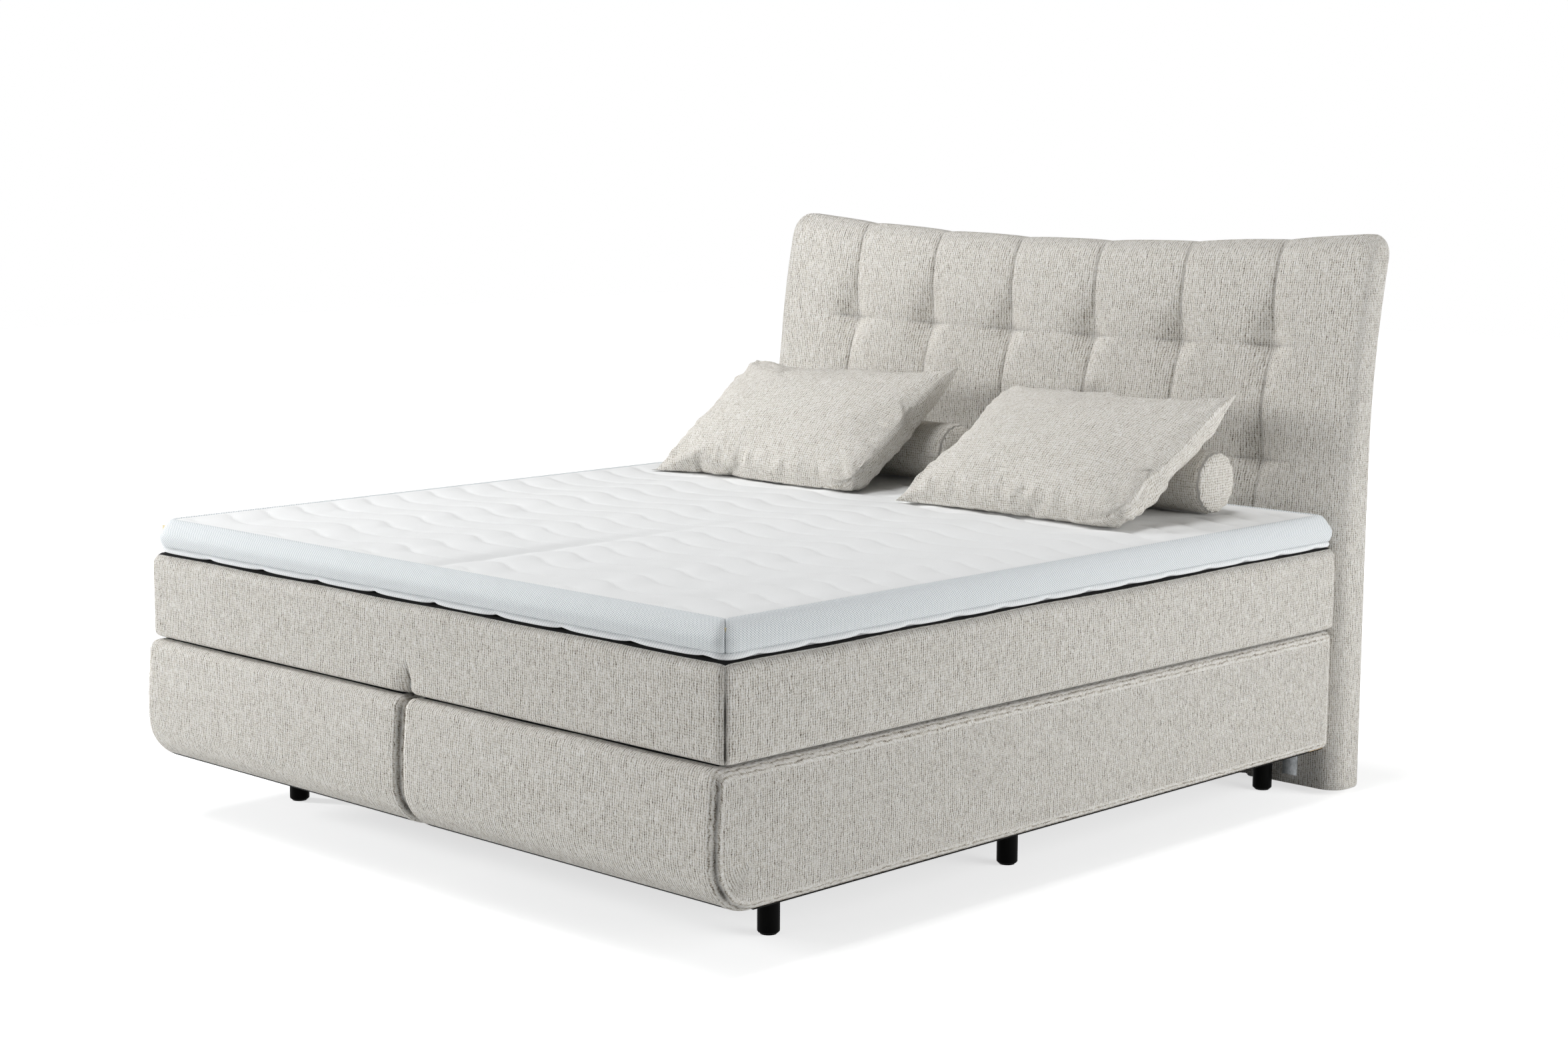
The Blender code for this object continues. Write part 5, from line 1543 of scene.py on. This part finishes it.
@dataclass
class Bolster:
    """Round bolster: a cylinder of cloth with flat sewn ends, blown up so that they bulge."""

    side: str
    step: float = 0.009
    sides: int = 96
    cap_rings: int = 9
    dome: float = 0.018
    pucker: float = 0.0022
    seam_dip: float = 0.003
    cut_shorter: float = 0.03
    cut_slimmer: float = 0.97

    def envelope(self, length: float, radius: float) -> tuple[Array, Array]:
        """Cylinder and two end discs on rings: (r cos t, r sin t), closer and closer to a pole.

        Args:
            length: length of the cylinder.
            radius: its radius.

        Returns:
            The rings and the weave coordinates of the quads between them.
        """
        half = length / 2
        inner = np.linspace(0.06, 0.94, self.cap_rings) * radius
        side = np.linspace(-half, half, int(length / self.step))
        rings_r = np.concatenate([inner, np.full(len(side), radius), inner[::-1]])
        rings_x = np.concatenate([np.full(self.cap_rings, -half), side, np.full(self.cap_rings, half)])
        run = np.concatenate([inner - radius - half, side, half + radius - inner[::-1]])
        angle = np.arange(self.sides) * math.tau / self.sides
        y = rings_r[:, None] * np.cos(angle)
        z = rings_r[:, None] * np.sin(angle)
        rings = np.stack([np.broadcast_to(rings_x[:, None], y.shape), y, z], -1)
        turn = np.concatenate([angle, [math.tau]]) * radius
        flat = np.stack(np.broadcast_arrays(run[:, None], turn[None]), -1)
        cap = np.abs(flat[..., 0]) > half
        disc = np.concatenate([rings, rings[:, :1]], axis=1)[..., 1:]
        flat = np.where(cap[..., None], disc, flat)
        corner = np.arange(flat.shape[0] * flat.shape[1]).reshape(flat.shape[:2])
        return rings, flat.reshape(-1, 2)[quads_of(corner, True)]

    def build(self, finishes: Finishes) -> None:
        """Blow up the envelope, fit it to the CAD bolster and lay it down."""
        node = f"bolster_{self.side}"
        low, high = box_of(node)
        centre = (low + high) / 2
        radius = (high[2] - low[2]) / 2
        length = high[0] - low[0]
        rings, uv = self.envelope(length - self.cut_shorter, radius * self.cut_slimmer)
        poles = rings[[0, -1]].mean(axis=1)
        piece, points, fans = make_rings(node + "_roll", rings, poles, finishes.cushion)
        layer = piece.data.uv_layers.new(name="weave")
        corners = np.concatenate([uv.reshape(-1, 2), points[fans][..., 1:].reshape(-1, 2)])
        layer.uv.foreach_set("vector", corners.reshape(-1).astype(np.float32))
        points = inflate(piece, pressure=4.0, stiffness=40.0, bending=0.8, frames=18)
        points = points - (points.max(0) + points.min(0)) / 2
        size = points.max(0) - points.min(0)
        LOG.info("bolster_%s blown up to %s", self.side, np.round(size, 3))
        points = points * (np.array([length - 2 * self.dome, 2 * radius, 2 * radius]) / size)
        x, y, z = points.T
        reach = np.hypot(y, z) / radius
        cap = ease((np.abs(x) / (length / 2 - self.dome) - 0.93) / 0.05)
        x = x + np.sign(x) * cap * self.dome * np.sqrt(np.maximum(0.0, 1.0 - reach**2))
        angle = np.arctan2(z, y)
        pucker = self.pucker * np.cos(angle * 17 + 2.0 * np.sin(angle * 3)) * bump_at(reach - 0.93, 0.10)
        seam = bump_at(np.abs(x) - (length / 2 - self.dome), 0.004) * bump_at(reach - 1.0, 0.10)
        scale = 1.0 - (pucker * cap + self.seam_dip * seam) / radius
        points = np.stack([x, y * scale, z * scale], 1) + centre
        piece.data.vertices.foreach_set("co", points.reshape(-1).astype(np.float32))
        piece.data.update()
        paint_seam_shade(piece, np.zeros(len(points)))
        seat(piece, node, "cushion_cloth", node, fill=0.85)


# Studio


@dataclass(frozen=True)
class Viewpoint:
    """The photograph's camera, measured from the middle of the foot face at floor level."""

    place: tuple[float, float, float] = (4.437, -3.474, 1.573)
    yaw: float = 43.912
    pitch: float = 8.236
    roll: float = 0.311
    lens: float = 64.073

    def build(self) -> None:
        """Make the camera: it looks along the yaw and pitch and leans by the roll."""
        yaw, pitch, roll = (math.radians(angle) for angle in (self.yaw, self.pitch, self.roll))
        ahead = Vector(
            (-math.sin(yaw) * math.cos(pitch), math.cos(yaw) * math.cos(pitch), -math.sin(pitch))
        )
        right = Vector((math.cos(yaw), math.sin(yaw), 0.0))
        up = right.cross(ahead)
        level = right * math.cos(roll) + up * math.sin(roll)
        upright = up * math.cos(roll) - right * math.sin(roll)
        data = bpy.data.cameras.new("photo_camera")
        data.lens = self.lens
        data.sensor_width = 36.0
        data.clip_end = 60.0
        camera = link_piece("photo_camera", data)
        turn = Matrix((level, upright, -ahead)).transposed().to_4x4()
        x, y, z = self.place
        camera.matrix_world = Matrix.Translation((x, y + FOOT, z)) @ turn
        bpy.context.scene.camera = camera


@dataclass(frozen=True)
class Softbox:
    """One area lamp aimed at a point of the bed."""

    name: str
    place: tuple[float, float, float]
    aim: tuple[float, float, float]
    size: float
    watts: float

    def build(self) -> None:
        """Make the lamp, a square that faces its aim."""
        data = bpy.data.lights.new(self.name, "AREA")
        data.shape = "SQUARE"
        data.size = self.size
        data.energy = self.watts
        lamp = link_piece(self.name, data)
        lamp.location = self.place
        away = Vector(self.aim) - Vector(self.place)
        lamp.rotation_euler = away.to_track_quat("-Z", "Y").to_euler()


@dataclass(frozen=True)
class Studio:
    """Plain white studio: pale floor, white surroundings and soft lamps."""

    ambient: float = 0.01
    near_light: float = 0.66
    far_light: float = 1.05

    def seen(self, tree: Tree) -> Socket:
        """1 where a camera, glossy or transmission ray looks, else 0."""
        path = add_node(tree, "LightPath")
        total = calc(tree, "ADD", path.outputs["Is Camera Ray"], path.outputs["Is Glossy Ray"])
        total = calc(tree, "ADD", total, path.outputs["Is Transmission Ray"])
        return calc(tree, "MINIMUM", total, 1.0)

    def build(self) -> None:
        """Make the world, the floor and the lamps."""
        world = bpy.data.worlds.new("studio")
        world.use_nodes = True
        bpy.context.scene.world = world
        tree = world.node_tree
        tree.nodes.clear()
        dim = add_node(tree, "Background", {"Color": linear("fbfcff"), "Strength": self.ambient})
        white = add_node(tree, "Background", {"Color": (1.0, 1.0, 1.0, 1.0), "Strength": 1.0})
        mixed = add_node(tree, "MixShader", {0: self.seen(tree), 1: dim.outputs[0], 2: white.outputs[0]})
        add_node(tree, "OutputWorld", {0: mixed.outputs[0]})
        self.floor()
        middle = (0.0, 0.2, 0.5)
        for lamp in (
            Softbox("key_left", (-5.2, -3.6, 1.6), middle, 0.9, 192.0),
            Softbox("high_left", (-3.0, -1.5, 4.2), middle, 2.0, 98.0),
            Softbox("front", (0.0, -6.0, 1.8), middle, 3.0, 57.0),
            Softbox("fill_far_right", (4.6, 2.2, 1.6), middle, 2.5, 88.0),
            Softbox("fill_right", (5.4, 0.6, 0.9), middle, 2.0, 66.0),
            Softbox("overhead", (0.0, -1.0, 10.0), middle, 2.6, 380.0),
        ):
            lamp.build()

    def floor(self) -> None:
        """Make the pale floor, which keeps a faint shadow and is white to the camera elsewhere."""
        mesh = bpy.data.meshes.new("studio_floor")
        half = 14.0
        corners = [(-half, -half, 0.0), (half, -half, 0.0), (half, half, 0.0), (-half, half, 0.0)]
        mesh.from_pydata(corners, [], [(0, 1, 2, 3)])
        floor = link_piece("studio_floor", mesh)
        floor.location.z = -0.0005
        material, tree, shader = new_material("pale_floor")
        shader.inputs["Base Color"].default_value = linear("eceded")
        shader.inputs["Roughness"].default_value = 0.9
        glow = add_node(tree, "Emission", {"Color": (1.0, 1.0, 1.0, 1.0), "Strength": 1.0})
        reach = add_node(tree, "VectorMath", {0: object_place(tree)}, operation="LENGTH").outputs["Value"]
        limits = {"From Min": 1.7, "From Max": 3.4, "To Min": self.near_light, "To Max": self.far_light}
        level = add_node(tree, "MapRange", {"Value": reach, **limits}).outputs[0]
        strength = calc(tree, "MULTIPLY", self.seen(tree), level)
        tree.links.new(strength, glow.inputs["Strength"])
        mixed = add_node(tree, "AddShader", {0: shader.outputs[0], 1: glow.outputs[0]})
        output = next(node for node in tree.nodes if node.type == "OUTPUT_MATERIAL")
        tree.links.new(mixed.outputs[0], output.inputs[0])
        mesh.materials.append(material)


def main() -> None:
    """Build the whole dressed bed and its studio."""
    logging.basicConfig(level=logging.INFO, format="%(name)s: %(message)s")
    Viewpoint().build()
    finishes = Finishes.build()
    finishes.dress_nodes()
    for side in ("left", "right"):
        SpringBox(side).build(finishes)
        DustCover(side).build(finishes)
    for name in sorted(frame["nodes"]):
        if "_leg_" in name:
            Leg(name).build(finishes)
    Headboard().build(finishes)
    Mattress().build(finishes)
    Topper().build(finishes)
    Bolster("left").build(finishes)
    Bolster("right").build(finishes)
    Pillow("left", 34.4, 2.0).build(finishes)
    Pillow("right", 31.6, -2.0).build(finishes)
    Studio().build()
    bpy.context.scene.view_settings.view_transform = "Standard"


if __name__ == "__main__":
    main()
